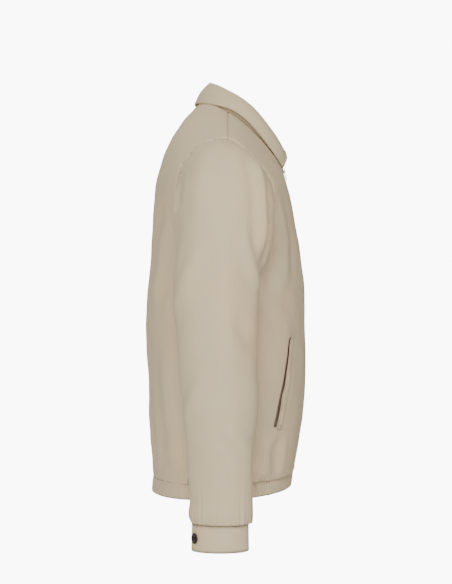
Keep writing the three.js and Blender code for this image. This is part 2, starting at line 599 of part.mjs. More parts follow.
const snapStud = (side) => snapPlace(side, lathe([
  [0, FLANGE_IN - 0.9], [FLANGE_R, FLANGE_IN - 0.9], [FLANGE_R, FLANGE_IN],
  [STUD_R, FLANGE_IN], [STUD_R, HEAD_OUT - 0.6], [STUD_R - 0.4, HEAD_OUT], [0, HEAD_OUT],
]));

// ---- Hanger loop at the centre-back neck ----
function hangerLoop() {
  const path = new THREE.CatmullRomCurve3([
    new THREE.Vector3(-LOOP_HALF, 1.6, -14.8),
    new THREE.Vector3(-LOOP_HALF * 0.62, -1.5, -17 - LOOP_DROP * 0.3),
    new THREE.Vector3(0, -3, -14 - LOOP_DROP),
    new THREE.Vector3(LOOP_HALF * 0.62, -1.5, -17 - LOOP_DROP * 0.3),
    new THREE.Vector3(LOOP_HALF, 1.6, -14.8),
  ]);
  const section = new THREE.Shape([[-0.7, -3], [0.7, -3], [0.7, 3], [-0.7, 3]]
    .map(([x, y]) => new THREE.Vector2(x, y)));
  return solid(new THREE.ExtrudeGeometry(section, { steps: 14, extrudePath: path, bevelEnabled: false }));
}

// ---- Assembly ----
const jacket = new THREE.Group();
const add = (name, manifold, material, parent = jacket) => parent.add(meshOf(name, manifold, material));

add('back_panel', backPanel(), SHELL);
add('collar_stand', collarStand(), SHELL);
add('top_collar', topCollar(), SHELL);
add('under_collar', underCollar(), SHELL_INNER);
add('hem_band_back', hemBack(), SHELL);
add('back_neck_facing', backNeckFacing(), SHELL_INNER);
add('body_lining', bodyLining(), LINING_CLOTH);
add('hanger_loop', hangerLoop(), SHELL_INNER);
add('zip_box', zipBox(), GUNMETAL);
add('zip_pin', zipPin(-1), GUNMETAL);

for (const [side, name] of [[-1, 'right'], [1, 'left']]) {
  add(`front_panel_${name}`, frontPanel(side), SHELL);
  add(`front_facing_${name}`, frontFacing(side), SHELL_INNER);
  add(`pocket_welt_${name}`, pocketWelt(side), SHELL);
  add(`pocket_bag_${name}`, pocketBag(side), LINING_CLOTH);
  add(`hem_tab_${name}`, hemTab(side), SHELL);
  add(`hem_casing_${name}`, hemCasing(side), SHELL);
  add(`hem_elastic_${name}`, hemElastic(side), ELASTIC_CLOTH);
  add(`zip_tape_${name}`, zipTape(side), TAPE_CLOTH);
  add(`zip_teeth_${name}`, zipTeeth(side), GUNMETAL);
  add(`zip_stop_${name}`, zipStop(side), GUNMETAL);
  add(`top_sleeve_${name}`, topSleeve(side), SHELL);
  add(`under_sleeve_${name}`, underSleeve(side), SHELL);
  add(`sleeve_lining_${name}`, sleeveLining(side), LINING_CLOTH);
  add(`cuff_band_${name}`, cuffBand(side), SHELL);
  add(`cuff_tab_${name}`, cuffTab(side), SHELL);
  add(`snap_cap_${name}`, snapCap(side), GUNMETAL);
  add(`snap_stud_${name}`, snapStud(side), GUNMETAL);
}

const sliderPsi = frontAngle(ZIP_TOP - 3 - GAP - SLIDER_LENGTH / 2);
const sliderFrame = new THREE.Group();
sliderFrame.position.copy(frontPoint(0, 0, sliderPsi));
sliderFrame.rotation.x = -sliderPsi;
add('zip_slider', slider(), DARK_METAL, sliderFrame);
add('zip_pull', pull(), DARK_METAL, sliderFrame);
jacket.add(sliderFrame);

export default jacket;
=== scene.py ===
"""A zip-front blouson jacket: cloth, seams, stitching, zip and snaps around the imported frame.

The frame's sizes are repeated here in metres, and each cloth piece is a band of a lofted surface.
"""
import math

import bmesh
import bpy
import numpy as np
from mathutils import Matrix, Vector
from mathutils.bvhtree import BVHTree


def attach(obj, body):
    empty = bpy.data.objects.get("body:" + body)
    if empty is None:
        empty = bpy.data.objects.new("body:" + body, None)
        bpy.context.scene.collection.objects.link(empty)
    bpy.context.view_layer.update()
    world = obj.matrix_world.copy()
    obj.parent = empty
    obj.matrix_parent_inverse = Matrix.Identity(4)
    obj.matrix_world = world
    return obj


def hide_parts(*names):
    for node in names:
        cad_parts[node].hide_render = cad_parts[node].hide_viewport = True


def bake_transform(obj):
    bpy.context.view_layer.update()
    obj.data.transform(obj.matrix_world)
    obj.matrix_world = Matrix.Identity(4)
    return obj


bl_info = {
    "name": "Blouson Jacket",
    "version": (1, 0, 0),
    "blender": (4, 5, 0),
    "location": "View3D > Sidebar > Jacket",
    "description": "Builds the cloth, seams, zip and snaps of a zip-front blouson jacket",
    "category": "Add Mesh",
}

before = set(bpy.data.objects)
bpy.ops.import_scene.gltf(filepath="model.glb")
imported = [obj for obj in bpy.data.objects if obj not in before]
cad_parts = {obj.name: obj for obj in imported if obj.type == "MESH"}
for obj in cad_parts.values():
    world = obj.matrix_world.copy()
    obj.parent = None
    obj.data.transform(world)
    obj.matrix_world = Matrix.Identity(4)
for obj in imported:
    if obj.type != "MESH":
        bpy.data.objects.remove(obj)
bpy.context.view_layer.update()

MM = 0.001
SIDES = ((-1, "right"), (1, "left"))
BODY = "jacket_body"

# ---- Sizes of the frame, in metres ----
BACK_LENGTH = 0.660
CHEST_BACK = 0.0935
CHEST_HALF = 0.205
SHOULDER_HALF = 0.212
NECK_HALF = 0.080
NECK_DROP = 0.112
NECK_DEPTH = 0.135
NECK_SIDE_Z = 0.028
SHOULDER_DROP = 0.084
ARMHOLE_DEPTH = 0.204
HEM_HALF = 0.195
HEM_HEIGHT = 0.025
HEM_RISE = 0.010
FRONT_BULGE = 0.031
FRONT_HEM_Y = -0.151
SEAM_Y = -0.044
ELASTIC_BACK_Y = 0.042
ELASTIC_FRONT_Y = -0.124
COLLAR_FALL = 0.040
COLLAR_STAND = 0.028
COLLAR_SPREAD = 0.040
ZIP_EDGE = 0.005
SLEEVE_OUT = 0.336
SLEEVE_IN = 0.220
WRIST_Z = -0.678
CUFF_HEIGHT = 0.042
CUFF_X = 0.280
CUFF_Y = -0.032
CUFF_HALF_X = 0.034
CUFF_HALF_Y = 0.044
TAB_START = math.radians(40)
TAB_END = math.radians(97)
SNAP_ANGLE = math.radians(61)
SNAP_R = 0.0083
POCKET_TOP = (0.141, -0.399)
POCKET_BOTTOM = (0.168, -0.542)
WELT = 0.011

UNDERARM_Z = -SHOULDER_DROP - ARMHOLE_DEPTH
HEM_FRONT_Z = -BACK_LENGTH + HEM_RISE


# ---- Settings ----
def colour(name, value, text):
    return bpy.props.FloatVectorProperty(
        name=name, description=text, subtype="COLOR", size=3, min=0, max=1, default=value)


def length(name, value, text):
    return bpy.props.FloatProperty(name=name, description=text, default=value, unit="LENGTH", precision=5)


class JacketCloth(bpy.types.PropertyGroup):
    shell: colour("Shell", (0.590, 0.478, 0.304), "Colour of the outer cloth")
    lining: colour("Lining", (0.330, 0.265, 0.190), "Colour of the lining")
    thread: colour("Thread", (0.470, 0.400, 0.305), "Colour of the topstitching")
    cloth_thickness: length("Cloth thickness", 0.9 * MM, "Thickness of one ply of the outer cloth")
    mesh_step: length("Mesh step", 3.8 * MM, "Size of the quads of the cloth surfaces")
    fold_depth: bpy.props.FloatProperty(
        name="Fold depth", description="How deep the folds are, as a share of the drawn depth", default=1.7)
    weave: length("Weave", 0.55 * MM, "Distance between two yarns")


class JacketStitching(bpy.types.PropertyGroup):
    pitch: length("Pitch", 3.0 * MM, "Distance from one stitch to the next")
    stitch: length("Stitch length", 2.3 * MM, "Length of one visible stitch")
    thickness: length("Thread thickness", 0.42 * MM, "Diameter of the thread")
    inset: length("Inset", 5.0 * MM, "Distance of the topstitching from an edge")


class JacketHardware(bpy.types.PropertyGroup):
    gunmetal: colour("Gunmetal", (0.062, 0.048, 0.038), "Colour of the zip and the snaps")
    tooth_pitch: length("Tooth pitch", 2.4 * MM, "Distance between two teeth of one row")


class JacketStage(bpy.types.PropertyGroup):
    distance: length("Camera distance", 2.7, "Distance from the camera to the middle of the jacket")
    lens: bpy.props.FloatProperty(name="Lens", description="Focal length in millimetres", default=98.0)
    eye: bpy.props.FloatVectorProperty(
        name="Aim", description="The point of the centre plane that the camera looks at",
        subtype="TRANSLATION", size=3, default=(0.0, -0.0408, -0.3264))


def settings():
    scene = bpy.context.scene
    return scene.jacket_cloth, scene.jacket_stitching, scene.jacket_hardware, scene.jacket_stage


# ---- Curves and surfaces ----
def smoothstep(x):
    x = np.clip(x, 0.0, 1.0)
    return x * x * (3 - 2 * x)


def through(knots, t):
    """Catmull-Rom interpolation through rows of numbers, at t counted in rows."""
    knots = np.asarray(knots, float)
    t = np.clip(np.asarray(t, float), 0, len(knots) - 1 - 1e-9)
    i = np.floor(t).astype(int)
    f = (t - i).reshape((-1,) + (1,) * (knots.ndim - 1))
    padded = np.concatenate([2 * knots[:1] - knots[1:2], knots, 2 * knots[-1:] - knots[-2:-1]])
    p0, p1, p2, p3 = (padded[i + k] for k in range(4))
    return 0.5 * (2 * p1 + (p2 - p0) * f + (2 * p0 - 5 * p1 + 4 * p2 - p3) * f ** 2
                  + (3 * p1 - p0 - 3 * p2 + p3) * f ** 3)


def even_steps(sample, t_end, step, fine=0.0):
    """Values of t from 0 to t_end, about step apart along sample(t), with fine rows at both ends."""
    t = np.linspace(0, t_end, 600)
    rows = sample(t)
    gaps = np.linalg.norm(np.diff(rows, axis=0), axis=-1).mean(axis=1)
    run = np.concatenate([[0], np.cumsum(gaps)])
    count = max(3, int(round(run[-1] / step)))
    marks = np.linspace(0, run[-1], count + 1)
    if fine:
        near = np.array([fine, 2.2 * fine, 3.6 * fine])
        marks = np.concatenate([[0], near, marks[2:-2], run[-1] - near[::-1], [run[-1]]])
    return np.interp(marks, run, t)


def grid_normals(points, closed):
    if closed:
        around = np.roll(points, -1, axis=1) - np.roll(points, 1, axis=1)
    else:
        around = np.gradient(points, axis=1)
    along = np.gradient(points, axis=0)
    normals = np.cross(along, around)
    return normals / np.maximum(np.linalg.norm(normals, axis=-1, keepdims=True), 1e-12)


front_top = np.array([-NECK_DEPTH, -NECK_DROP])
front_bottom = np.array([FRONT_HEM_Y, HEM_FRONT_Z])
front_chord = front_bottom - front_top
FRONT_RADIUS = (front_chord @ front_chord / 4 + FRONT_BULGE ** 2) / (2 * FRONT_BULGE)
front_in = np.array([-front_chord[1], front_chord[0]]) / np.linalg.norm(front_chord)
FRONT_CENTRE = (front_top + front_bottom) / 2 + front_in * (FRONT_RADIUS - FRONT_BULGE)


def front_y(z):
    return FRONT_CENTRE[0] - np.sqrt(FRONT_RADIUS ** 2 - (z - FRONT_CENTRE[1]) ** 2)


def front_point(x, offset, z):
    """A point of the closed front at height z, offset outwards from its arc."""
    psi = np.arcsin((z - FRONT_CENTRE[1]) / FRONT_RADIUS)
    reach = FRONT_RADIUS + offset
    return np.stack([x + 0 * z, FRONT_CENTRE[0] - reach * np.cos(psi), FRONT_CENTRE[1] + reach * np.sin(psi)], -1)


def armhole_z(share):
    return -SHOULDER_DROP - ARMHOLE_DEPTH * share


def shoulder_z(share):
    return -NECK_SIDE_Z - (SHOULDER_DROP - NECK_SIDE_Z) * share


def neck_to_shoulder(share):
    return NECK_HALF + (SHOULDER_HALF - NECK_HALF) * share


def body_row(share, back, half=None):
    bottom = -BACK_LENGTH + HEM_RISE / 2 + HEM_HEIGHT
    z = UNDERARM_Z + (bottom - UNDERARM_Z) * share
    width = half or CHEST_HALF + (HEM_HALF - CHEST_HALF) * share ** 2
    return [width, SEAM_Y, z, CHEST_BACK * back, z, z, 2.3, 1]


def hem_row(rise):
    return [HEM_HALF, SEAM_Y, -BACK_LENGTH + HEM_RISE / 2 + rise, CHEST_BACK * 0.905 - rise * 0.06,
            -BACK_LENGTH + rise, HEM_FRONT_Z + rise, 2.3, 1]


# Each row: half width, side y and z, back y and z, front z, roundness, front dip.
TORSO = [
    [NECK_HALF, SEAM_Y, -NECK_SIDE_Z, 0, 0, -NECK_DROP, 2, 1.3],
    [neck_to_shoulder(0.24), SEAM_Y, shoulder_z(0.25), CHEST_BACK * 0.17, -0.020, -NECK_DROP - 0.009, 2.05, 1.3],
    [neck_to_shoulder(0.53), SEAM_Y, shoulder_z(0.54), CHEST_BACK * 0.37, -0.043, -NECK_DROP - 0.018, 2.1, 1.25],
    [neck_to_shoulder(0.8), SEAM_Y, shoulder_z(0.79), CHEST_BACK * 0.54, -0.070, -NECK_DROP - 0.028, 2.2, 1.2],
    [SHOULDER_HALF, SEAM_Y, -SHOULDER_DROP, CHEST_BACK * 0.65, -0.094, -NECK_DROP - 0.036, 2.3, 1.1],
    [SHOULDER_HALF + 0.026, SEAM_Y, armhole_z(0.08), CHEST_BACK * 0.73, -0.118, -NECK_DROP - 0.044, 2.3, 1],
    [SHOULDER_HALF + 0.049, SEAM_Y, armhole_z(0.25), CHEST_BACK * 0.82, armhole_z(0.32), armhole_z(0.42), 2.3, 1],
    [SHOULDER_HALF + 0.042, SEAM_Y, armhole_z(0.5), CHEST_BACK * 0.88, armhole_z(0.52), armhole_z(0.57), 2.3, 1],
    [SHOULDER_HALF + 0.022, SEAM_Y, armhole_z(0.77), CHEST_BACK * 0.94, armhole_z(0.77), armhole_z(0.78), 2.3, 1],
    body_row(0, 0.965, SHOULDER_HALF - 0.0006),
    body_row(0.16, 1, CHEST_HALF + 0.002),
    body_row(0.34, 0.99),
    body_row(0.52, 0.965),
    body_row(0.68, 0.94),
    body_row(0.82, 0.915),
    body_row(0.92, 0.89),
    hem_row(HEM_HEIGHT),
]


def ring_points(rows, angles):
    """Rings of superellipses: angle 0 is the wearer's left side and a quarter turn is the back."""
    half, side_y, side_z, back_y, back_z, front_z, power, dip = (c[:, None] for c in rows.T)
    c, s = np.cos(angles)[None], np.sin(angles)[None]
    reach = np.abs(s) ** (2 / power)
    rear = s >= 0
    fall = np.where(rear, reach, reach ** dip)
    end_y = np.where(rear, back_y, front_y(front_z))
    end_z = np.where(rear, back_z, front_z)
    return np.stack([half * np.sign(c) * np.abs(c) ** (2 / power) + 0 * s,
                     side_y + (end_y - side_y) * reach, side_z + (end_z - side_z) * fall], -1)


def torso_surface(t, angles):
    return ring_points(through(TORSO, t), angles)


def even_angles(step):
    """Angles whose points lie evenly round the chest."""
    fine = np.linspace(0, 2 * math.pi, 2000)
    ring = torso_surface([10.0], fine)[0]
    run = np.concatenate([[0], np.cumsum(np.linalg.norm(np.diff(ring, axis=0), axis=1))])
    count = int(round(run[-1] / step / 4)) * 4
    return np.interp(np.linspace(0, run[-1], count + 1)[:-1], run, fine)


# ---- Folds ----
def fold(points, path, width, depth, ends=0.25):
    """How far a soft ridge along a path of points lifts each point; a negative depth is a valley."""
    path = np.asarray(path, float)
    best = np.full(points.shape[:-1], np.inf)
    where = np.zeros(points.shape[:-1])
    run = np.concatenate([[0], np.cumsum(np.linalg.norm(np.diff(path, axis=0), axis=1))])
    for a, b, start in zip(path[:-1], path[1:], run[:-1]):
        along = b - a
        size = np.linalg.norm(along)
        f = np.clip(((points - a) @ along) / size ** 2, 0, 1)
        distance = np.linalg.norm(points - (a + f[..., None] * along), axis=-1)
        nearer = distance < best
        best = np.where(nearer, distance, best)
        where = np.where(nearer, (start + f * size) / run[-1], where)
    fade = smoothstep(where / ends) * smoothstep((1 - where) / ends)
    profile = np.exp(-(best / width) ** 2) - 0.45 * np.exp(-((best - 1.9 * width) / width) ** 2)
    return depth * fade * profile


def unevenness(points, seed, size, depth):
    """Slow random waves, the same on every run."""
    rng = np.random.default_rng(seed)
    total = np.zeros(points.shape[:-1])
    for _ in range(9):
        direction = rng.normal(size=3) * np.array([1.0, 1.0, 0.6])
        wave = direction / np.linalg.norm(direction) * (2 * math.pi / (size * rng.uniform(0.6, 1.7)))
        total += np.sin(points @ wave + rng.uniform(0, 2 * math.pi))
    return depth * total / 3


def puckers(position, distance, pitch, reach, depth, seed=3):
    """Gathers that fade away from a seam: position runs along the seam, distance away from it."""
    rng = np.random.default_rng(seed)
    wobble = sum(rng.uniform(0.4, 1.2) * np.sin(position * 2 * math.pi / (pitch * k) + rng.uniform(0, 6.28))
                 for k in (1.0, 1.37, 2.1, 3.3))
    return depth * wobble / 2 * np.exp(-(distance / reach) ** 1.3)


def on_torso(side, *places):
    """Points of the torso surface given as (y, z), on the front or the back half of one side."""
    found = []
    for y, z in places:
        t = np.linspace(4, len(TORSO) - 1, 120)
        angles = np.linspace(-math.pi / 2, math.pi / 2, 181)
        grid = torso_surface(t, angles)
        k = np.argmin((grid[..., 1] - y) ** 2 + (grid[..., 2] - z) ** 2)
        x, y2, z2 = grid.reshape(-1, 3)[k]
        found.append((side * x, y2, z2))
    return found


# ---- Meshes ----
def add_object(name, mesh):
    piece = bpy.data.objects.new(name, mesh)
    bpy.context.scene.collection.objects.link(piece)
    return piece


def shade(mesh, smooth=True):
    mesh.polygons.foreach_set("use_smooth", [smooth] * len(mesh.polygons))
    mesh.update()
    return mesh


def grid_mesh(name, points, closed=False, outward=True):
    """A quad mesh from a grid, with a UV map in metres that follows the cloth."""
    rows, columns = points.shape[:2]
    loop = np.concatenate([points, points[:, :1]], axis=1) if closed else points
    u = np.concatenate([[0], np.cumsum(np.linalg.norm(np.diff(loop, axis=1), axis=-1).mean(axis=0))])
    v = np.concatenate([[0], np.cumsum(np.linalg.norm(np.diff(points, axis=0), axis=-1).mean(axis=1))])
    steps = columns if closed else columns - 1
    i, j = np.meshgrid(np.arange(rows - 1), np.arange(steps), indexing="ij")
    k = (j + 1) % columns
    quads = np.stack([i * columns + j, (i + 1) * columns + j, (i + 1) * columns + k, i * columns + k], -1)
    corners = np.stack([np.stack([u[j], v[i]], -1), np.stack([u[j], v[i + 1]], -1),
                        np.stack([u[j + 1], v[i + 1]], -1), np.stack([u[j + 1], v[i]], -1)], -2)
    quads, corners = quads.reshape(-1, 4), corners.reshape(-1, 4, 2)
    if not outward:
        quads, corners = quads[:, ::-1], corners[:, ::-1]
    mesh = bpy.data.meshes.new(name)
    mesh.from_pydata(points.reshape(-1, 3).tolist(), [], quads.tolist())
    layer = mesh.uv_layers.new(name="cloth")
    layer.data.foreach_set("uv", corners.reshape(-1))
    return shade(mesh)


def thicken(piece, thickness, offset=-1.0):
    wall = piece.modifiers.new("wall", "SOLIDIFY")
    wall.thickness = thickness
    wall.offset = offset
    wall.use_even_offset = False
    return piece


def baked(piece):
    """Replaces a piece's mesh by its evaluated one and drops its modifiers."""
    graph = bpy.context.evaluated_depsgraph_get()
    graph.update()
    mesh = bpy.data.meshes.new_from_object(piece.evaluated_get(graph))
    piece.modifiers.clear()
    if piece.type == "MESH":
        piece.data = mesh
        return piece
    name = piece.name
    bpy.data.objects.remove(piece)
    return add_object(name, mesh)


def finish_piece(piece, material, body, nodes=()):
    """Gives a piece its material and the body it moves with, and hides the frame nodes it stands for."""
    piece.data.materials.clear()
    piece.data.materials.append(material)
    if body:
        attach(piece, body)
    if nodes:
        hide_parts(*nodes)
    return piece


SEAM_STEPS = (0.0, 0.7 * MM, 1.6 * MM, 2.9 * MM)
SEAM_ROLL = 1.4 * MM
ARMHOLE_ROLL = 3.2 * MM
SEAM_REACH = 3.2 * MM


def cut(bm, point, normal, clear=False):
    geometry = bm.verts[:] + bm.edges[:] + bm.faces[:]
    bmesh.ops.bisect_plane(bm, geom=geometry, dist=1e-7, plane_co=point, plane_no=normal, clear_inner=clear)


def seam_panel(name, source, planes, turn_in=SEAM_ROLL):
    """The part of a mesh on the positive side of every plane, with its edges rolled in at each.

    A plane is a point, a normal and, where its edge turns in further, a depth.
    """
    depths = [plane[2] if len(plane) > 2 else turn_in for plane in planes]
    planes = [plane[:2] for plane in planes]
    bm = bmesh.new()
    bm.from_mesh(source)
    for point, normal in planes:
        for step in reversed(SEAM_STEPS):
            cut(bm, Vector(point) + Vector(normal) * step, normal, clear=step == 0.0)
    bm.normal_update()
    for vert in bm.verts:
        near, depth = min(((vert.co - Vector(point)).dot(Vector(normal)), depth)
                          for (point, normal), depth in zip(planes, depths))
        if near < SEAM_REACH:
            roll = (1 - near / SEAM_REACH) ** 2
            shift = vert.normal * (-depth * roll)
            for point, normal in planes:
                if (vert.co - Vector(point)).dot(Vector(normal)) < 1e-6:
                    shift -= Vector(normal) * shift.dot(Vector(normal))
            vert.co += shift
    mesh = bpy.data.meshes.new(name)
    bm.to_mesh(mesh)
    bm.free()
    return shade(mesh)


# ---- Materials ----
def new_material(name):
    material = bpy.data.materials.new(name)
    material.use_nodes = True
    nodes = material.node_tree.nodes
    return material, nodes, material.node_tree.links, nodes["Principled BSDF"]


def node(nodes, kind, **values):
    made = nodes.new(kind)
    for key, value in values.items():
        if key in made.inputs:
            made.inputs[key].default_value = value
        else:
            setattr(made, key, value)
    return made


def mix_colours(nodes, links, factor, first, second, blend="MIX"):
    mix = node(nodes, "ShaderNodeMix", data_type="RGBA", blend_type=blend)
    for source, socket in ((factor, mix.inputs[0]), (first, mix.inputs[6]), (second, mix.inputs[7])):
        if isinstance(source, bpy.types.NodeSocket):
            links.new(source, socket)
        else:
            socket.default_value = source
    return mix.outputs[2]


def woven(name, base, yarn, sheen=0.02, rough=0.9, relief=0.35, mottle=0.035, twill=False):
    """Woven cloth: two sets of yarns on the piece's own UV map, slubs and a slow change of tone."""
    material, nodes, links, shader = new_material(name)
    uv = node(nodes, "ShaderNodeUVMap", uv_map="cloth")
    place = node(nodes, "ShaderNodeTexCoord")
    waves = []
    for direction in ("X", "Y"):
        wave = node(nodes, "ShaderNodeTexWave", wave_type="BANDS", bands_direction=direction, Scale=math.pi / yarn / 10,
                    Distortion=0.6, Detail=1.0)
        wave.inputs["Detail Scale"].default_value = 1.5
        links.new(uv.outputs["UV"], wave.inputs["Vector"])
        waves.append(wave)
    if twill:
        waves[0].bands_direction = "DIAGONAL"
    cross = node(nodes, "ShaderNodeMath", operation="MULTIPLY")
    for wave, socket in zip(waves, cross.inputs):
        links.new(wave.outputs["Fac"], socket)
    stretch = node(nodes, "ShaderNodeMapping", Scale=(1.0, 0.06, 1.0))
    links.new(uv.outputs["UV"], stretch.inputs["Vector"])
    slub = node(nodes, "ShaderNodeTexNoise", Scale=420.0, Detail=3.0, Roughness=0.6)
    links.new(stretch.outputs["Vector"], slub.inputs["Vector"])
    tone = node(nodes, "ShaderNodeTexNoise", Scale=9.0, Detail=3.0, Roughness=0.55)
    links.new(place.outputs["Object"], tone.inputs["Vector"])
    warm = tuple(c * k for c, k in zip(base, (1 + mottle, 1.0, 1 - mottle * 0.6))) + (1.0,)
    cool = tuple(c * k for c, k in zip(base, (1 - mottle, 1.0, 1 + mottle * 0.2))) + (1.0,)
    spread = node(nodes, "ShaderNodeMapRange")
    spread.inputs["From Min"].default_value = 0.35
    spread.inputs["From Max"].default_value = 0.65
    links.new(tone.outputs["Fac"], spread.inputs["Value"])
    toned = mix_colours(nodes, links, spread.outputs["Result"], cool, warm)
    streak = node(nodes, "ShaderNodeMapRange")
    streak.inputs["From Min"].default_value = 0.3
    streak.inputs["From Max"].default_value = 0.7
    streak.inputs["To Min"].default_value = 0.965
    streak.inputs["To Max"].default_value = 1.03
    links.new(slub.outputs["Fac"], streak.inputs["Value"])
    streaked = mix_colours(nodes, links, 1.0, toned, streak.outputs["Result"], "MULTIPLY")
    yarns = node(nodes, "ShaderNodeMapRange")
    yarns.inputs["To Min"].default_value = 0.9
    yarns.inputs["To Max"].default_value = 1.06
    links.new(cross.outputs["Value"], yarns.inputs["Value"])
    coloured = mix_colours(nodes, links, 1.0, streaked, yarns.outputs["Result"], "MULTIPLY")
    links.new(coloured, shader.inputs["Base Color"])
    height = node(nodes, "ShaderNodeMath", operation="ADD")
    links.new(cross.outputs["Value"], height.inputs[0])
    links.new(slub.outputs["Fac"], height.inputs[1])
    bump = node(nodes, "ShaderNodeBump", Strength=relief, Distance=0.12 * MM)
    links.new(height.outputs["Value"], bump.inputs["Height"])
    links.new(bump.outputs["Normal"], shader.inputs["Normal"])
    gloss = node(nodes, "ShaderNodeMapRange")
    gloss.inputs["To Min"].default_value = rough - 0.05
    gloss.inputs["To Max"].default_value = rough + 0.05
    links.new(slub.outputs["Fac"], gloss.inputs["Value"])
    links.new(gloss.outputs["Result"], shader.inputs["Roughness"])
    shader.inputs["Sheen Weight"].default_value = sheen
    shader.inputs["Sheen Roughness"].default_value = 0.45
    shader.inputs["Specular IOR Level"].default_value = 0.25
    return material


def spun_thread(name, base):
    """Thread with a fine twist."""
    material, nodes, links, shader = new_material(name)
    place = node(nodes, "ShaderNodeTexCoord")
    fibre = node(nodes, "ShaderNodeTexNoise", Scale=2600.0, Detail=2.0)
    links.new(place.outputs["Object"], fibre.inputs["Vector"])
    light = tuple(min(1.0, c * 1.2) for c in base) + (1.0,)
    dark = tuple(c * 0.8 for c in base) + (1.0,)
    links.new(mix_colours(nodes, links, fibre.outputs["Fac"], dark, light), shader.inputs["Base Color"])
    bump = node(nodes, "ShaderNodeBump", Strength=0.4, Distance=0.05 * MM)
    links.new(fibre.outputs["Fac"], bump.inputs["Height"])
    links.new(bump.outputs["Normal"], shader.inputs["Normal"])
    shader.inputs["Roughness"].default_value = 0.6
    shader.inputs["Sheen Weight"].default_value = 0.2
    return material


def plated_metal(name, base, rough=0.34):
    """Dark plated metal with rubbed edges and a brushed grain."""
    material, nodes, links, shader = new_material(name)
    place = node(nodes, "ShaderNodeTexCoord")
    grain = node(nodes, "ShaderNodeTexNoise", Scale=900.0, Detail=4.0, Roughness=0.65)
    cloud = node(nodes, "ShaderNodeTexNoise", Scale=160.0, Detail=3.0)
    for texture in (grain, cloud):
        links.new(place.outputs["Object"], texture.inputs["Vector"])
    light = tuple(min(1.0, c * 1.7) for c in base) + (1.0,)
    dark = tuple(c * 0.75 for c in base) + (1.0,)
    geometry = node(nodes, "ShaderNodeNewGeometry")
    worn = node(nodes, "ShaderNodeMapRange")
    worn.inputs["From Min"].default_value = 0.52
    worn.inputs["From Max"].default_value = 0.60
    links.new(geometry.outputs["Pointiness"], worn.inputs["Value"])
    tone = mix_colours(nodes, links, cloud.outputs["Fac"], dark, tuple(base) + (1.0,))
    links.new(mix_colours(nodes, links, worn.outputs["Result"], tone, light), shader.inputs["Base Color"])
    gloss = node(nodes, "ShaderNodeMapRange")
    gloss.inputs["To Min"].default_value = rough - 0.1
    gloss.inputs["To Max"].default_value = rough + 0.14
    links.new(grain.outputs["Fac"], gloss.inputs["Value"])
    links.new(gloss.outputs["Result"], shader.inputs["Roughness"])
    bump = node(nodes, "ShaderNodeBump", Strength=0.15, Distance=0.03 * MM)
    links.new(grain.outputs["Fac"], bump.inputs["Height"])
    links.new(bump.outputs["Normal"], shader.inputs["Normal"])
    shader.inputs["Metallic"].default_value = 0.85
    return material


def plain_backdrop(name, base):
    material, nodes, links, shader = new_material(name)
    place = node(nodes, "ShaderNodeTexCoord")
    noise = node(nodes, "ShaderNodeTexNoise", Scale=2.0)
    links.new(place.outputs["Object"], noise.inputs["Vector"])
    low = tuple(c * 0.99 for c in base) + (1.0,)
    links.new(mix_colours(nodes, links, noise.outputs["Fac"], low, tuple(base) + (1.0,)), shader.inputs["Base Color"])
    shader.inputs["Roughness"].default_value = 1.0
    shader.inputs["Specular IOR Level"].default_value = 0.0
    return material


MATERIALS = {}


def make_materials():
    cloth, _, hardware, _ = settings()
    shell, lining, thread = (tuple(c) for c in (cloth.shell, cloth.lining, cloth.thread))
    MATERIALS["shell"] = woven("shell_cloth", shell, cloth.weave)
    MATERIALS["facing"] = woven("facing_cloth", tuple(c * 0.93 for c in shell), cloth.weave)
    MATERIALS["lining"] = woven("lining_cloth", lining, 0.35 * MM, sheen=0.3, rough=0.5, relief=0.15, twill=True)
    MATERIALS["tape"] = woven("zip_tape_cloth", tuple(c * 0.72 for c in shell), 0.8 * MM, relief=0.6)
    MATERIALS["elastic"] = woven("knitted_elastic", (0.72, 0.69, 0.62), 1.1 * MM, relief=0.8, mottle=0.02)
    MATERIALS["thread"] = spun_thread("topstitch_thread", thread)
    MATERIALS["zip_metal"] = plated_metal("zip_gunmetal", tuple(hardware.gunmetal), 0.36)
    MATERIALS["snap_metal"] = plated_metal("snap_gunmetal", tuple(hardware.gunmetal), 0.3)
    MATERIALS["backdrop"] = plain_backdrop("pale_floor", (0.97, 0.97, 0.97))


# ---- Geometry Nodes: stitches and teeth ----
def tree_with(name, inputs):
    tree = bpy.data.node_groups.new(name, "GeometryNodeTree")
    tree.interface.new_socket("Geometry", in_out="INPUT", socket_type="NodeSocketGeometry")
    for label, kind in inputs:
        tree.interface.new_socket(label, in_out="INPUT", socket_type=kind)
    tree.interface.new_socket("Geometry", in_out="OUTPUT", socket_type="NodeSocketGeometry")
    enter = tree.nodes.new("NodeGroupInput")
    leave = tree.nodes.new("NodeGroupOutput")
    return tree, enter, leave


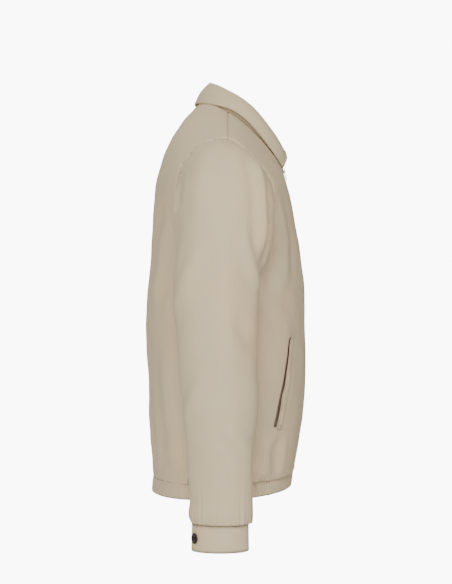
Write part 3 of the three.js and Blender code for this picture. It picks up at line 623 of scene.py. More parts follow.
def along_curve_tree(name, closed_shape):
    """Copies of a small shape along a curve: every Pitch, turned to its tangent."""
    tree, enter, leave = tree_with(name, (("Pitch", "NodeSocketFloat"), ("Shape", "NodeSocketObject"),
                                          ("Material", "NodeSocketMaterial")))
    nodes, links = tree.nodes, tree.links
    resample = nodes.new("GeometryNodeResampleCurve")
    resample.mode = "LENGTH"
    points = nodes.new("GeometryNodeCurveToPoints")
    points.mode = "EVALUATED"
    shape = nodes.new("GeometryNodeObjectInfo")
    place = nodes.new("GeometryNodeInstanceOnPoints")
    realize = nodes.new("GeometryNodeRealizeInstances")
    paint = nodes.new("GeometryNodeSetMaterial")
    links.new(enter.outputs["Geometry"], resample.inputs["Curve"])
    links.new(enter.outputs["Pitch"], resample.inputs["Length"])
    links.new(resample.outputs["Curve"], points.inputs["Curve"])
    links.new(points.outputs["Points"], place.inputs["Points"])
    links.new(points.outputs["Rotation"], place.inputs["Rotation"])
    links.new(enter.outputs["Shape"], shape.inputs["Object"])
    links.new(shape.outputs["Geometry"], place.inputs["Instance"])
    links.new(place.outputs["Instances"], realize.inputs["Geometry"])
    links.new(realize.outputs["Geometry"], paint.inputs["Geometry"])
    links.new(enter.outputs["Material"], paint.inputs["Material"])
    links.new(paint.outputs["Geometry"], leave.inputs["Geometry"])
    return tree


TREES = {}


def run_tree(piece, tree, **values):
    modifier = piece.modifiers.new(tree.name, "NODES")
    modifier.node_group = tree
    for item in tree.interface.items_tree:
        if item.item_type == "SOCKET" and item.in_out == "INPUT" and item.name in values:
            modifier[item.identifier] = values[item.name]
    return piece


def curve_through(name, paths):
    curve = bpy.data.curves.new(name, "CURVE")
    curve.dimensions = "3D"
    for path in paths:
        spline = curve.splines.new("POLY")
        spline.points.add(len(path) - 1)
        spline.points.foreach_set("co", np.column_stack([path, np.ones(len(path))]).reshape(-1))
    return add_object(name, curve)


def capsule(name, size, thickness):
    """A stitch: a short thread lying along Z with rounded, sunken ends."""
    turns = np.arange(5) * 2 * math.pi / 5
    rows = [(-0.5, 0.15), (-0.36, 0.85), (0.0, 1.0), (0.36, 0.85), (0.5, 0.15)]
    points = np.array([[[thickness / 2 * r * math.cos(a), thickness / 2 * r * math.sin(a), size * z] for a in turns]
                       for z, r in rows])
    bm = bmesh.new()
    bm.from_mesh(grid_mesh(name, points, closed=True))
    bmesh.ops.holes_fill(bm, edges=bm.edges[:])
    bmesh.ops.recalc_face_normals(bm, faces=bm.faces[:])
    mesh = bpy.data.meshes.new(name)
    bm.to_mesh(mesh)
    bm.free()
    return shade(mesh)


def stitched(name, paths, body):
    """Rows of stitches along paths, as one mesh that moves with a body."""
    _, stitching, _, _ = settings()
    if "stitches" not in TREES:
        TREES["stitches"] = along_curve_tree("stitches", True)
        shape = add_object("stitch_shape", capsule("stitch_shape", stitching.stitch, stitching.thickness))
        TREES["stitch_shape"] = shape
    row = curve_through(name, paths)
    run_tree(row, TREES["stitches"], Pitch=stitching.pitch, Shape=TREES["stitch_shape"],
             Material=MATERIALS["thread"])
    row = baked(row)
    return finish_piece(row, MATERIALS["thread"], body)


# ---- Body panels ----
SURFACES = {}
PUSH = 1.9 * MM


def pushed(points, normals, distance):
    return points + normals * np.asarray(distance)[..., None]


def slit_x(z):
    (x0, z0), (x1, z1) = POCKET_TOP, POCKET_BOTTOM
    return x0 + (x1 - x0) * (z - z0) / (z1 - z0)


# Soft folds of the body: (y, z) points on one side, width, depth.
BODY_FOLDS = (
    (((-0.118, -0.170), (-0.135, -0.240), (-0.142, -0.330)), 0.015, 2.6 * MM),
    (((-0.096, -0.200), (-0.112, -0.275), (-0.110, -0.345)), 0.012, -2.2 * MM),
    (((-0.070, -0.300), (-0.110, -0.360), (-0.150, -0.400)), 0.016, 1.8 * MM),
    (((-0.105, -0.560), (-0.100, -0.600), (-0.095, -0.632)), 0.009, 2.4 * MM),
    (((-0.128, -0.548), (-0.122, -0.590), (-0.118, -0.632)), 0.010, -2.0 * MM),
    (((-0.060, -0.470), (-0.066, -0.545), (-0.062, -0.630)), 0.013, 2.0 * MM),
    (((-0.020, -0.430), (-0.014, -0.530), (-0.018, -0.630)), 0.014, -1.8 * MM),
    (((0.040, -0.190), (0.062, -0.260), (0.080, -0.360)), 0.016, 2.6 * MM),
    (((0.060, -0.400), (0.052, -0.500), (0.040, -0.630)), 0.018, 2.2 * MM),
    (((0.084, -0.480), (0.080, -0.560), (0.078, -0.630)), 0.016, -1.6 * MM),
)


def body_relief(points, position):
    """How far the worn cloth of the body stands off its pattern, in metres."""
    x, y, z = np.moveaxis(points, -1, 0)
    scale = settings()[0].fold_depth
    lift = unevenness(points, 11, 0.16, 1.1 * MM) + unevenness(points, 12, 0.05, 0.25 * MM)
    for side, share in ((-1, 1.0), (1, 0.85)):
        for places, width, depth in BODY_FOLDS:
            path = on_torso(side, *places)
            if side > 0:
                path = [(a, b + 0.006 * math.sin(17 * c), c - 0.012) for a, b, c in path]
            lift += fold(points, path, width, depth * share)
    gathered = smoothstep((y - ELASTIC_FRONT_Y) / 0.02) * smoothstep((ELASTIC_BACK_Y - y) / 0.02)
    above_hem = np.maximum(z - (-BACK_LENGTH + HEM_HEIGHT), 0)
    lift += gathered * puckers(position, above_hem, 0.0085, 0.034, 1.5 * MM, seed=5)
    lift += (1 - gathered) * puckers(position, above_hem, 0.012, 0.016, 0.35 * MM, seed=6)
    lift += 2.0 * MM * gathered * np.exp(-((above_hem - 0.020) / 0.016) ** 2)
    to_sleeve = np.abs(SHOULDER_HALF - np.abs(x))
    lift += (z > UNDERARM_Z) * puckers(y - z, to_sleeve, 0.013, 0.012, 0.55 * MM, seed=8)
    calm = smoothstep((np.abs(x) - 0.010) / 0.022) + (y > SEAM_Y)
    to_neck = np.hypot(x / (NECK_HALF + 0.004), (y + 0.067) / 0.075)
    return lift * scale * np.clip(calm, 0, 1) * smoothstep((to_neck - 1.0) / 0.35)


def make_surface():
    """The worn surface of the body, shared by its panels, lining, facings and stitching."""
    step = settings()[0].mesh_step
    angles = even_angles(step)
    t = even_steps(lambda t: torso_surface(t, angles), len(TORSO) - 1.0, step, fine=0.7 * MM)
    points = torso_surface(t, angles)
    normals = grid_normals(points, closed=True)
    hem = points[-1]
    run = np.concatenate([[0], np.cumsum(np.linalg.norm(np.diff(hem, axis=0), axis=1))])
    worn = pushed(points, normals, body_relief(points, run[None] + 0 * points[..., 0]))
    SURFACES["t"], SURFACES["angles"] = t, angles
    SURFACES["worn"], SURFACES["normals"] = worn, grid_normals(worn, closed=True)
    SURFACES["run"] = run


def edge_roll(count, first, last, reach=3):
    """How far the first and last rows of a surface turn in."""
    roll = np.zeros(count)
    share = np.linspace(1, 0, reach + 1)[:-1] ** 2
    roll[:reach] = share * first
    roll[-reach:] = share[::-1] * last
    return roll[:, None]


def plane_x(side, x, outward):
    """The plane at |x| on one side, whose kept half lies outward of it or towards the centre."""
    return (side * x, 0, 0), (side if outward else -side, 0, 0)


def open_pocket(piece, side):
    """Cuts the pocket's mouth out of a front panel and turns its long edges in."""
    bm = bmesh.new()
    bm.from_mesh(piece.data)
    (x0, z0), (x1, z1) = POCKET_TOP, POCKET_BOTTOM
    along = Vector((side * (x1 - x0), 0, z1 - z0)).normalized()
    across = Vector((side * abs(along.z), 0, along.x * side * side if side > 0 else -along.x)).normalized()
    top = Vector((side * x0, 0, z0))
    long = (Vector((side * x1, 0, z1)) - top).length

    def place(co):
        flat = Vector((co.x, 0, co.z)) - top
        return flat.dot(along), flat.dot(across)

    near = [f for f in bm.faces if f.calc_center_median().y < SEAM_Y - 0.01
            and -0.01 < place(f.calc_center_median())[0] < long + 0.01
            and abs(place(f.calc_center_median())[1]) < 0.02]
    geometry = list({v for f in near for v in f.verts}) + list({e for f in near for e in f.edges}) + near
    for point, normal in ((top + across * -0.0035, across), (top + across * 0.0012, across),
                          (top + across * 0.0028, across), (top, along), (top + along * long, along)):
        done = bmesh.ops.bisect_plane(bm, geom=geometry, dist=1e-7, plane_co=point, plane_no=normal)
        geometry = list(set(done["geom"]) | {g for g in geometry if g.is_valid})
    gone = [f for f in bm.faces if f.calc_center_median().y < SEAM_Y - 0.01
            and 0 < place(f.calc_center_median())[0] < long
            and -0.0035 < place(f.calc_center_median())[1] < 0.0012]
    bmesh.ops.delete(bm, geom=gone, context="FACES")
    bm.normal_update()
    for vert in bm.verts:
        run, off = place(vert.co)
        if vert.co.y < SEAM_Y - 0.01 and 0.001 < run < long - 0.001 and 0.0005 < off < 0.004:
            vert.co -= vert.normal * 1.6 * MM * (1 - (off - 0.0012) / 0.0028) ** 2
    bm.to_mesh(piece.data)
    bm.free()
    shade(piece.data)


def make_panels():
    if "worn" not in SURFACES:
        make_surface()
    worn, normals = SURFACES["worn"], SURFACES["normals"]
    rolled = pushed(worn, normals, -edge_roll(len(worn), 1.6 * MM, 2.4 * MM) + 0 * worn[..., 0])
    source = grid_mesh("body_surface", rolled, closed=True)
    ply = settings()[0].cloth_thickness
    gap = 0.15 * MM
    both = [(*plane_x(side, SHOULDER_HALF, False), ARMHOLE_ROLL) for side, _ in SIDES]
    back = add_object("back", seam_panel("back", source, [((0, SEAM_Y + gap, 0), (0, 1, 0))] + both))
    finish_piece(thicken(back, ply), MATERIALS["shell"], BODY, ["back_panel"])
    for side, name in SIDES:
        planes = [((0, SEAM_Y - gap, 0), (0, -1, 0)), plane_x(side, ZIP_EDGE, True),
                  (*plane_x(side, SHOULDER_HALF, False), ARMHOLE_ROLL)]
        front = add_object(f"front_{name}", seam_panel(f"front_{name}", source, planes))
        open_pocket(front, side)
        finish_piece(thicken(front, ply), MATERIALS["shell"], BODY, [f"front_panel_{name}"])
    bpy.data.meshes.remove(source)


# ---- Sleeves ----
ARMHOLE_MIDDLE = (-0.038, armhole_z(0.5))
UNDER_POINT = (SHOULDER_HALF + 0.001, armhole_z(0.72))
UNDER_END = (CUFF_X - 0.014, WRIST_Z - 0.040)


def sleeve_z(share):
    return UNDERARM_Z + (WRIST_Z + 0.3 * MM - UNDERARM_Z) * share


# Each row: outer x and z, inner x and z, front y, back y.
SLEEVE = [
    [SHOULDER_HALF + 0.028, armhole_z(0.05), SHOULDER_HALF + 0.0016, armhole_z(1.01), -0.112, 0.037],
    [SHOULDER_HALF + 0.057, armhole_z(0.14), SHOULDER_HALF + 0.0026, armhole_z(1.03), -0.111, 0.037],
    [SHOULDER_HALF + 0.084, armhole_z(0.3), SHOULDER_HALF + 0.0036, armhole_z(1.05), -0.108, 0.0365],
    [SLEEVE_OUT - 0.021, armhole_z(0.54), SHOULDER_HALF + 0.005, armhole_z(1.09), -0.104, 0.036],
    [SLEEVE_OUT - 0.008, armhole_z(0.82), SLEEVE_IN - 0.001, armhole_z(1.17), -0.097, 0.0356],
    [SLEEVE_OUT - 0.001, sleeve_z(0.09), SLEEVE_IN, sleeve_z(0.17), -0.092, 0.0356],
    [SLEEVE_OUT, sleeve_z(0.27), SLEEVE_IN + 0.003, sleeve_z(0.31), -0.090, 0.0345],
    [SLEEVE_OUT - 0.001, sleeve_z(0.46), SLEEVE_IN + 0.009, sleeve_z(0.48), -0.089, 0.029],
    [SLEEVE_OUT - 0.007, sleeve_z(0.66), SLEEVE_IN + 0.017, sleeve_z(0.66), -0.086, 0.022],
    [SLEEVE_OUT - 0.014, sleeve_z(0.84), SLEEVE_IN + 0.023, sleeve_z(0.84), -0.081, 0.017],
    [CUFF_X + CUFF_HALF_X + 0.001, sleeve_z(1), CUFF_X - CUFF_HALF_X - 0.001, sleeve_z(1),
     CUFF_Y - CUFF_HALF_Y - 0.0005, CUFF_Y + CUFF_HALF_Y + 0.001],
]


def armhole_ring(angles):
    """The armhole seam at angles about its middle, from the shoulder towards the back."""
    fine = np.linspace(-math.pi, math.pi, 721)
    grid = torso_surface(np.linspace(0, len(TORSO) - 1, 321), fine)
    grid = grid[:, np.abs(fine) <= math.pi / 2]
    x = grid[..., 0] - SHOULDER_HALF
    found = []
    for a, b, p, q in ((x[:-1], x[1:], grid[:-1], grid[1:]), (x[:, :-1], x[:, 1:], grid[:, :-1], grid[:, 1:])):
        hit = a * b < 0
        share = (a[hit] / (a[hit] - b[hit]))[:, None]
        found.append(p[hit] + (q[hit] - p[hit]) * share)
    found = np.concatenate(found)[:, 1:] - ARMHOLE_MIDDLE
    around = np.arctan2(found[:, 0], found[:, 1]) % (2 * math.pi)
    order = np.argsort(around)
    radius = np.interp(angles, around[order], np.hypot(*found[order].T), period=2 * math.pi)
    kernel = np.ones(5) / 5
    smooth = np.convolve(np.concatenate([radius[-2:], radius, radius[:2]]), kernel, mode="valid")
    return np.stack([np.full_like(angles, SHOULDER_HALF + 0.15 * MM), ARMHOLE_MIDDLE[0] + smooth * np.sin(angles),
                     ARMHOLE_MIDDLE[1] + smooth * np.cos(angles)], -1)


# Folds of the sleeve: (angle in degrees, row) points along the tube, width, depth.
SLEEVE_FOLDS = (
    (((96, 0.2), (100, 1.3), (104, 2.6), (110, 3.8)), 0.0085, -5.2 * MM),
    (((74, 0.6), (78, 1.8), (82, 3.2)), 0.010, 3.0 * MM),
    (((-62, 0.5), (-70, 2.0), (-84, 3.6), (-92, 5.0)), 0.012, -2.6 * MM),
    (((-40, 0.6), (-44, 2.0), (-58, 3.6), (-74, 5.2)), 0.010, 3.4 * MM),
    (((-98, 1.5), (-104, 3.4), (-100, 5.2)), 0.010, 2.6 * MM),
    (((-30, 4.6), (-56, 5.4), (-84, 5.9)), 0.012, 2.2 * MM),
    (((20, 5.0), (58, 6.0), (92, 6.5)), 0.014, 2.0 * MM),
    (((-20, 6.6), (-52, 7.1), (-86, 7.3)), 0.012, -1.8 * MM),
    (((12, 7.6), (46, 8.3), (84, 8.8)), 0.013, 2.0 * MM),
    (((-10, 8.7), (-44, 9.2), (-80, 9.5)), 0.011, 1.8 * MM),
    (((30, 1.2), (26, 2.8), (22, 4.4)), 0.016, 1.6 * MM),
    (((-12, 5.0), (-8, 6.6), (-14, 8.2)), 0.018, 1.6 * MM),
)


def sleeve_surface(side):
    """The worn surface of one sleeve, rows from the armhole down and columns round the arm."""
    step = settings()[0].mesh_step
    count = 4 * int(round(0.47 / step / 4))
    angles = np.arange(count) * 2 * math.pi / count
    rows = np.array(SLEEVE)
    ox, oz, ix, iz, front, rear = (c[:, None] for c in rows.T)
    reach = (1 + np.cos(angles))[None] / 2
    rings = np.stack([ix + (ox - ix) * reach, (front + rear) / 2 + (rear - front) / 2 * np.sin(angles)[None],
                      iz + (oz - iz) * reach], -1)
    knots = np.concatenate([armhole_ring(angles)[None], rings])
    t = even_steps(lambda t: through(knots, t), len(knots) - 1.0, step, fine=0.8 * MM)
    points = through(knots, t)
    normals = grid_normals(points, closed=True)
    seam = np.concatenate([[0], np.cumsum(np.linalg.norm(np.diff(points[0], axis=0), axis=1))])
    away = np.linalg.norm(points - points[:1], axis=-1)
    up_from_cuff = points[..., 2] - points[-1:, :, 2]
    rear_cap = 0.6 + 0.8 * np.clip(np.cos(angles - 0.6), 0, 1)
    lift = unevenness(points + (side * 3, 0, 0), 21, 0.13, 1.2 * MM)
    lift += puckers(seam[None] + 0 * away, away, 0.011, 0.020, 1.1 * MM, seed=14 + side) * rear_cap
    lift += puckers(seam[None] + 0 * away, up_from_cuff, 0.008, 0.034, 1.2 * MM, seed=24 + side)
    rear = np.clip(np.sin(angles), 0, 1)[None]
    lift += (0.5 + 1.4 * rear) * MM * np.exp(-((up_from_cuff - 0.014) / 0.013) ** 2) * smoothstep(up_from_cuff / 0.006)
    for k, (places, width, depth) in enumerate(SLEEVE_FOLDS):
        turn = 0.0 if side < 0 else 6 * math.sin(2.3 * k)
        path = [through(knots, [row + 0.0])[0][int(round((a + turn) / 360 * count)) % count] for a, row in places]
        lift += fold(points, path, width, depth)
    lift *= settings()[0].fold_depth * smoothstep(away / 0.004)
    worn = pushed(points, normals, lift)
    worn[..., 0] = np.maximum(worn[..., 0], SHOULDER_HALF + 0.15 * MM)
    if side < 0:
        worn = worn[:, ::-1] * (-1, 1, 1)
    return worn


def sleeve_blend(piece):
    """Bakes the piece's placement into its mesh."""
    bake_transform(piece)


def make_sleeves():
    for side, name in SIDES:
        worn = sleeve_surface(side)
        normals = grid_normals(worn, closed=True)
        SURFACES[f"sleeve_{name}"] = worn
        rolled = pushed(worn, normals, -edge_roll(len(worn), ARMHOLE_ROLL, 1.0 * MM) + 0 * worn[..., 0])
        source = grid_mesh("sleeve_surface", rolled, closed=True)
        run = np.array(UNDER_END) - UNDER_POINT
        normal = np.array([-run[1], 0, run[0]]) / np.linalg.norm(run) * (side, 1, 1)
        point = np.array([side * UNDER_POINT[0], 0, UNDER_POINT[1]])
        for part, sign in (("top", 1), ("under", -1)):
            planes = [(tuple(point + sign * normal * 0.15 * MM), tuple(sign * normal))]
            piece = add_object(f"{part}_sleeve_cloth_{name}", seam_panel(f"{part}_{name}", source, planes))
            thicken(piece, settings()[0].cloth_thickness)
            finish_piece(piece, MATERIALS["shell"], None, [f"{part}_sleeve_{name}"])
            sleeve_blend(piece)
        bpy.data.meshes.remove(source)


# ---- Cuffs, with the tab that wraps over the opening ----
CUFF_LOW = WRIST_Z - CUFF_HEIGHT
CUFF_RADIUS = math.hypot(CUFF_HALF_X, CUFF_HALF_Y) / math.sqrt(2)
WRAP_START = math.radians(-100)
BAND_STEPS = 9


def cuff_point(side, angle, offset, z):
    """A point of the cuff: angle 0 is the outside of the arm and a quarter turn is its back."""
    c, s = np.cos(angle), np.sin(angle)
    size = np.hypot(c / CUFF_HALF_X, s / CUFF_HALF_Y)
    x = side * (CUFF_X + CUFF_HALF_X * c + offset * c / CUFF_HALF_X / size)
    y = CUFF_Y + CUFF_HALF_Y * s + offset * s / CUFF_HALF_Y / size
    return np.stack(np.broadcast_arrays(x, y, z), -1)


def band_section(height, thickness, round_edge, steps=BAND_STEPS):
    """A flattened tube's cross-section as (height, depth) points, from the top of the outer face round."""
    h, d, r = height / 2, thickness / 2, round_edge
    corners = ((h - r, d - r, 0), (-h + r, d - r, 1), (-h + r, -d + r, 2), (h - r, -d + r, 3))
    points = []
    for cz, cd, k in corners:
        for a in np.linspace(math.pi / 2 * (k - 1), math.pi / 2 * k, 5):
            points.append((cz + r * math.cos(-a) * (1 if k in (0, 3) else 1), cd - r * math.sin(-a) * 1))
    ring = np.array(points)
    order = np.argsort(np.arctan2(ring[:, 1] / d, ring[:, 0] / h))
    ring = ring[order][::-1]
    dense = []
    for a, b in zip(ring, np.roll(ring, -1, axis=0)):
        pieces = max(1, int(round(abs(a[0] - b[0]) / (height / steps))))
        dense += [a + (b - a) * k / pieces for k in range(pieces)]
    return np.array(dense)


def ply_mesh(name, side, angles, section, middle_z, middle_depth, relief=None):
    """A band of cloth round the cuff: a closed section swept over angles, with its ends closed."""
    height, depth = section[:, 0], section[:, 1]
    bumps = np.zeros((len(section), len(angles)))
    if relief is not None:
        bumps = relief(angles[None] + 0 * bumps, height[:, None] + 0 * bumps) * (depth[:, None] > 0)
    points = cuff_point(side, angles[None], middle_depth + depth[:, None] + bumps, middle_z + height[:, None])
    points = points.transpose(1, 0, 2)
    if side < 0:
        points = points[::-1]
    return closed_tube(name, points)


def closed_tube(name, points, ends=True):
    """A tube from rings of points, made outward-facing and closed at its ends."""
    mesh = grid_mesh(name, points, closed=True)
    bm = bmesh.new()
    bm.from_mesh(mesh)
    if ends:
        bmesh.ops.holes_fill(bm, edges=[e for e in bm.edges if e.is_boundary])
    bmesh.ops.recalc_face_normals(bm, faces=bm.faces[:])
    bm.to_mesh(mesh)
    bm.free()
    return shade(mesh)


def stitch_dents(height, rows, depth=0.22 * MM, width=0.9 * MM):
    return -depth * sum(np.exp(-((height - row) / width) ** 2) for row in rows)


def make_cuffs():
    _, stitching, _, _ = settings()
    inset = 0.0032
    for side, name in SIDES:
        rows = (CUFF_HEIGHT / 2 - inset, -CUFF_HEIGHT / 2 + inset)
        rng = np.random.default_rng(31 + side)
        phase = rng.uniform(0, 6.28, 4)

        def relief(angle, height):
            run = angle * CUFF_RADIUS
            slow = np.sin(run / 0.013 + phase[0]) + 0.6 * np.sin(run / 0.0071 + height / 0.02 + phase[1])
            edges = np.exp(-((CUFF_HEIGHT / 2 - np.abs(height)) / 0.004) ** 2)
            fine = np.sin(run / 0.0011 + phase[2]) * edges * 0.09 * MM
            return stitch_dents(height, rows) + 0.22 * MM * slow + fine

        wrap_section = band_section(CUFF_HEIGHT - 0.6 * MM, 1.6 * MM, 0.7 * MM)
        wrap_angles = np.linspace(WRAP_START, TAB_END, 150)
        middle = WRIST_Z - CUFF_HEIGHT / 2
        wrap = add_object(f"cuff_wrap_{name}",
                          ply_mesh("wrap", side, wrap_angles, wrap_section, middle, -0.8 * MM, relief))
        finish_piece(wrap, MATERIALS["shell"], None, [f"cuff_tab_{name}"])
        ends = [cuff_point(side, math.radians(a), 0, middle) for a in (32, 48)]
        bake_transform(wrap)
        band_section_ = band_section(CUFF_HEIGHT, 2.0 * MM, 0.9 * MM)
        under = np.linspace(0, 2 * math.pi, 200)[:-1]
        rings = cuff_point(side, under[None], -3.2 * MM + band_section_[:, 1][:, None],
                           middle + band_section_[:, 0][:, None])
        band = add_object(f"cuff_band_cloth_{name}", loop_tube("band", rings, side))
        outer_section = band_section(CUFF_HEIGHT - 0.6 * MM, 1.6 * MM, 0.7 * MM)
        rest = np.linspace(math.radians(99), math.radians(259), 120)
        outer = add_object(f"cuff_outer_{name}",
                           ply_mesh("outer", side, rest, outer_section, middle, -0.8 * MM, relief))
        finish_piece(band, MATERIALS["shell"], f"sleeve_{name}", [f"cuff_band_{name}"])
        finish_piece(outer, MATERIALS["shell"], f"sleeve_{name}")


def loop_tube(name, rings, side):
    """A closed ring of cloth: section points by angles, joined both ways."""
    count, around = rings.shape[:2]
    i, j = np.meshgrid(np.arange(count), np.arange(around), indexing="ij")
    k, m = (i + 1) % count, (j + 1) % around
    quads = np.stack([i * around + j, k * around + j, k * around + m, i * around + m], -1).reshape(-1, 4)
    mesh = bpy.data.meshes.new(name)
    mesh.from_pydata(rings.reshape(-1, 3).tolist(), [], quads.tolist())
    u = np.concatenate([[0], np.cumsum(np.linalg.norm(np.diff(rings[0], axis=0), axis=-1))])
    v = np.concatenate([[0], np.cumsum(np.linalg.norm(np.diff(rings[:, 0], axis=0), axis=-1))])
    step_u, step_v = u[1], np.linalg.norm(rings[0, 0] - rings[-1, 0])
    u, v = np.append(u, u[-1] + step_u), np.append(v, v[-1] + step_v)
    corners = np.stack([np.stack([u[j], v[i]], -1), np.stack([u[j], v[i + 1]], -1),
                        np.stack([u[j + 1], v[i + 1]], -1), np.stack([u[j + 1], v[i]], -1)], -2)
    layer = mesh.uv_layers.new(name="cloth")
    layer.data.foreach_set("uv", corners.reshape(-1))
    bm = bmesh.new()
    bm.from_mesh(mesh)
    bmesh.ops.recalc_face_normals(bm, faces=bm.faces[:])
    bm.to_mesh(mesh)
    bm.free()
    return shade(mesh)


# ---- Snap fasteners ----
def revolved(name, profile, at, normal, segments=40):
    """A solid of revolution: (radius, height) points about an axis through a point."""
    profile = rounded(profile)
    turns = np.arange(segments) * 2 * math.pi / segments
    points = np.array([[[r * math.cos(a), r * math.sin(a), h] for a in turns] for r, h in profile])
    mesh = grid_mesh(name, points, closed=True)
    bm = bmesh.new()
    bm.from_mesh(mesh)
    bmesh.ops.remove_doubles(bm, verts=bm.verts[:], dist=1e-7)
    bmesh.ops.holes_fill(bm, edges=[e for e in bm.edges if e.is_boundary])
    bmesh.ops.recalc_face_normals(bm, faces=bm.faces[:])
    turn = Vector(normal).to_track_quat("Z", "X").to_matrix().to_4x4()
    bmesh.ops.transform(bm, matrix=turn, verts=bm.verts[:])
    bmesh.ops.translate(bm, vec=Vector(at), verts=bm.verts[:])
    bm.to_mesh(mesh)
    bm.free()
    return shade(mesh)


def rounded(profile, radius=0.22 * MM):
    """A polyline with each inner corner cut by a short arc of three points."""
    profile = [np.array(p, float) for p in profile]
    done = [profile[0]]
    for before, corner, after in zip(profile, profile[1:], profile[2:]):
        a, b = before - corner, after - corner
        reach = min(radius, np.linalg.norm(a) / 2.5, np.linalg.norm(b) / 2.5)
        p, q = (corner + v / np.linalg.norm(v) * reach for v in (a, b))
        done += [p, (p + q + 2 * corner) / 4, q]
    return done + [profile[-1]]


def make_snaps():
    for side, name in SIDES:
        middle = WRIST_Z - CUFF_HEIGHT / 2
        at = cuff_point(side, SNAP_ANGLE, 0.0, middle)
        normal = cuff_point(side, SNAP_ANGLE, 1.0, middle) - at
        r = SNAP_R
        cap = [(0, 0.5 * MM), (2.6 * MM, 0.5 * MM), (2.7 * MM, -1.6 * MM), (4.0 * MM, -1.6 * MM),
               (4.0 * MM, 0.3 * MM), (r - 0.2 * MM, 0.3 * MM), (r, 0.75 * MM), (r - 0.5 * MM, 1.5 * MM),
               (r - 1.5 * MM, 1.75 * MM), (r - 2.0 * MM, 1.45 * MM), (r - 3.6 * MM, 1.5 * MM),
               (r - 4.3 * MM, 1.95 * MM), (r - 5.6 * MM, 2.35 * MM), (0, 2.55 * MM)]
        piece = add_object(f"snap_cap_metal_{name}", revolved("cap", cap, at, normal))
        finish_piece(piece, MATERIALS["snap_metal"], f"tab_{name}", [f"snap_cap_{name}"])
        low = -5.0 * MM
        stud = [(0, low - 0.9 * MM), (4.2 * MM, low - 0.9 * MM), (5.0 * MM, low - 0.6 * MM), (5.0 * MM, low),
                (2.0 * MM, low), (2.0 * MM, -1.3 * MM), (1.6 * MM, -0.7 * MM), (0, -0.7 * MM)]
        piece = add_object(f"snap_stud_metal_{name}", revolved("stud", stud, at, normal, 28))
        finish_piece(piece, MATERIALS["snap_metal"], f"sleeve_{name}", [f"snap_stud_{name}"])


# ---- Collar: a stand, and a turned-down fall of two plies ----
STAND_TOP = COLLAR_STAND - 0.002
FALL_DOWN = COLLAR_FALL - 0.005
STAND_TUCK = 0.0055
FALL_EASE = 0.030


def collar_row(half, side, back, front, tip):
    """Half width, side y and z, back y and z, front y and z, and |x| where the row ends in front."""
    return [half, *side, *back, *front, tip]


def collar_fold(out, up, tip):
    return collar_row(0.070 + out, (-0.060, -0.002 + up), (-0.012 + out, STAND_TOP + up),
                      (-0.139 - out, -0.090 + up), tip)


TOP_COLLAR = [
    collar_fold(-0.0005, -0.0060, 0.0060), collar_fold(-0.0005, 0.0008, 0.0060),
    collar_fold(0.0012, 0.0030, 0.0061), collar_fold(0.0036, 0.0018, 0.0070),
    collar_row(0.0800, (-0.0588, -0.0052), (-0.0010, STAND_TOP - FALL_DOWN * 0.17), (-0.1450, -0.0966), 0.0125),
    collar_row(0.0862, (-0.0570, -0.0110), (0.0062, STAND_TOP - FALL_DOWN * 0.42), (-0.1470, -0.1050), 0.0198),
    collar_row(0.0910, (-0.0540, -0.0176), (0.0112, STAND_TOP - FALL_DOWN * 0.72), (-0.1466, -0.1172), 0.0290),
    collar_row(0.0950, (-0.0510, -0.0245), (0.0155, STAND_TOP - FALL_DOWN + 0.0005), (-0.1450, -0.1290), 0.0383),
]
UNDER_COLLAR = TOP_COLLAR[3:]
STAND = [
    collar_row(0.0700, (-0.060, -0.0020), (-0.0120, STAND_TOP), (-0.1390, -0.0900), ZIP_EDGE),
    collar_row(NECK_HALF, (SEAM_Y, -NECK_SIDE_Z + 0.0006), (-0.0005, 0.0006),
               (-NECK_DEPTH, -NECK_DROP + 0.0006), ZIP_EDGE),
    collar_row(NECK_HALF - 0.0005, (SEAM_Y, -NECK_SIDE_Z - STAND_TUCK), (-0.0025, -STAND_TUCK),
               (-NECK_DEPTH + 0.0020, -NECK_DROP - STAND_TUCK), ZIP_EDGE),
]


def collar_grid(rows, step, ease=FALL_EASE):
    """Rows of the collar, each running from the left front round the back to the right front."""
    rows = np.array(rows)
    count = int(round(0.42 / step))
    share = smoothstep_ends(np.linspace(0, 1, count))

    def sample(t):
        half, side_y, side_z, back_y, back_z, front_y_, front_z, tip = through(rows, t).T[..., None]
        start = -np.arccos(np.clip(tip / half, -1, 1))
        angle = start + (math.pi - 2 * start) * share[None]
        c, s = np.cos(angle), np.sin(angle)
        reach = np.abs(s)
        rear = s >= 0
        fall = np.where(rear, reach, reach ** 1.3)
        end_y, end_z = np.where(rear, back_y, front_y_), np.where(rear, back_z, front_z)
        return np.stack([half * c, side_y + (end_y - side_y) * reach, side_z + (end_z - side_z) * fall], -1)

    grid = sample(even_steps(sample, len(rows) - 1.0, step, fine=0.7 * MM))
    return eased(grid, ease) if ease else grid


def eased(points, reach):
    """Rows with their sharp turns at the shoulders smoothed over a reach, and their ends kept."""
    ahead = np.linalg.norm(np.diff(points, axis=1), axis=-1).mean(axis=0)
    run = np.concatenate([[0], np.cumsum(ahead)])
    weight = np.exp(-((run[:, None] - run[None]) / reach) ** 2) * np.gradient(run)[None]
    weight /= weight.sum(axis=1, keepdims=True)
    smooth = np.einsum("jk,ikc->ijc", weight, points)
    keep = smoothstep(np.minimum(run, run[-1] - run) / (2.2 * reach))[None, :, None]
    return points + (smooth - points) * keep


def smoothstep_ends(share):
    """Even shares with a few closer ones at both ends, for rolled edges."""
    fine = np.array([0.0, 0.0016, 0.0036, 0.0066, 0.0115])
    return np.concatenate([fine, np.linspace(0.016, 0.984, len(share)), 1 - fine[::-1]])


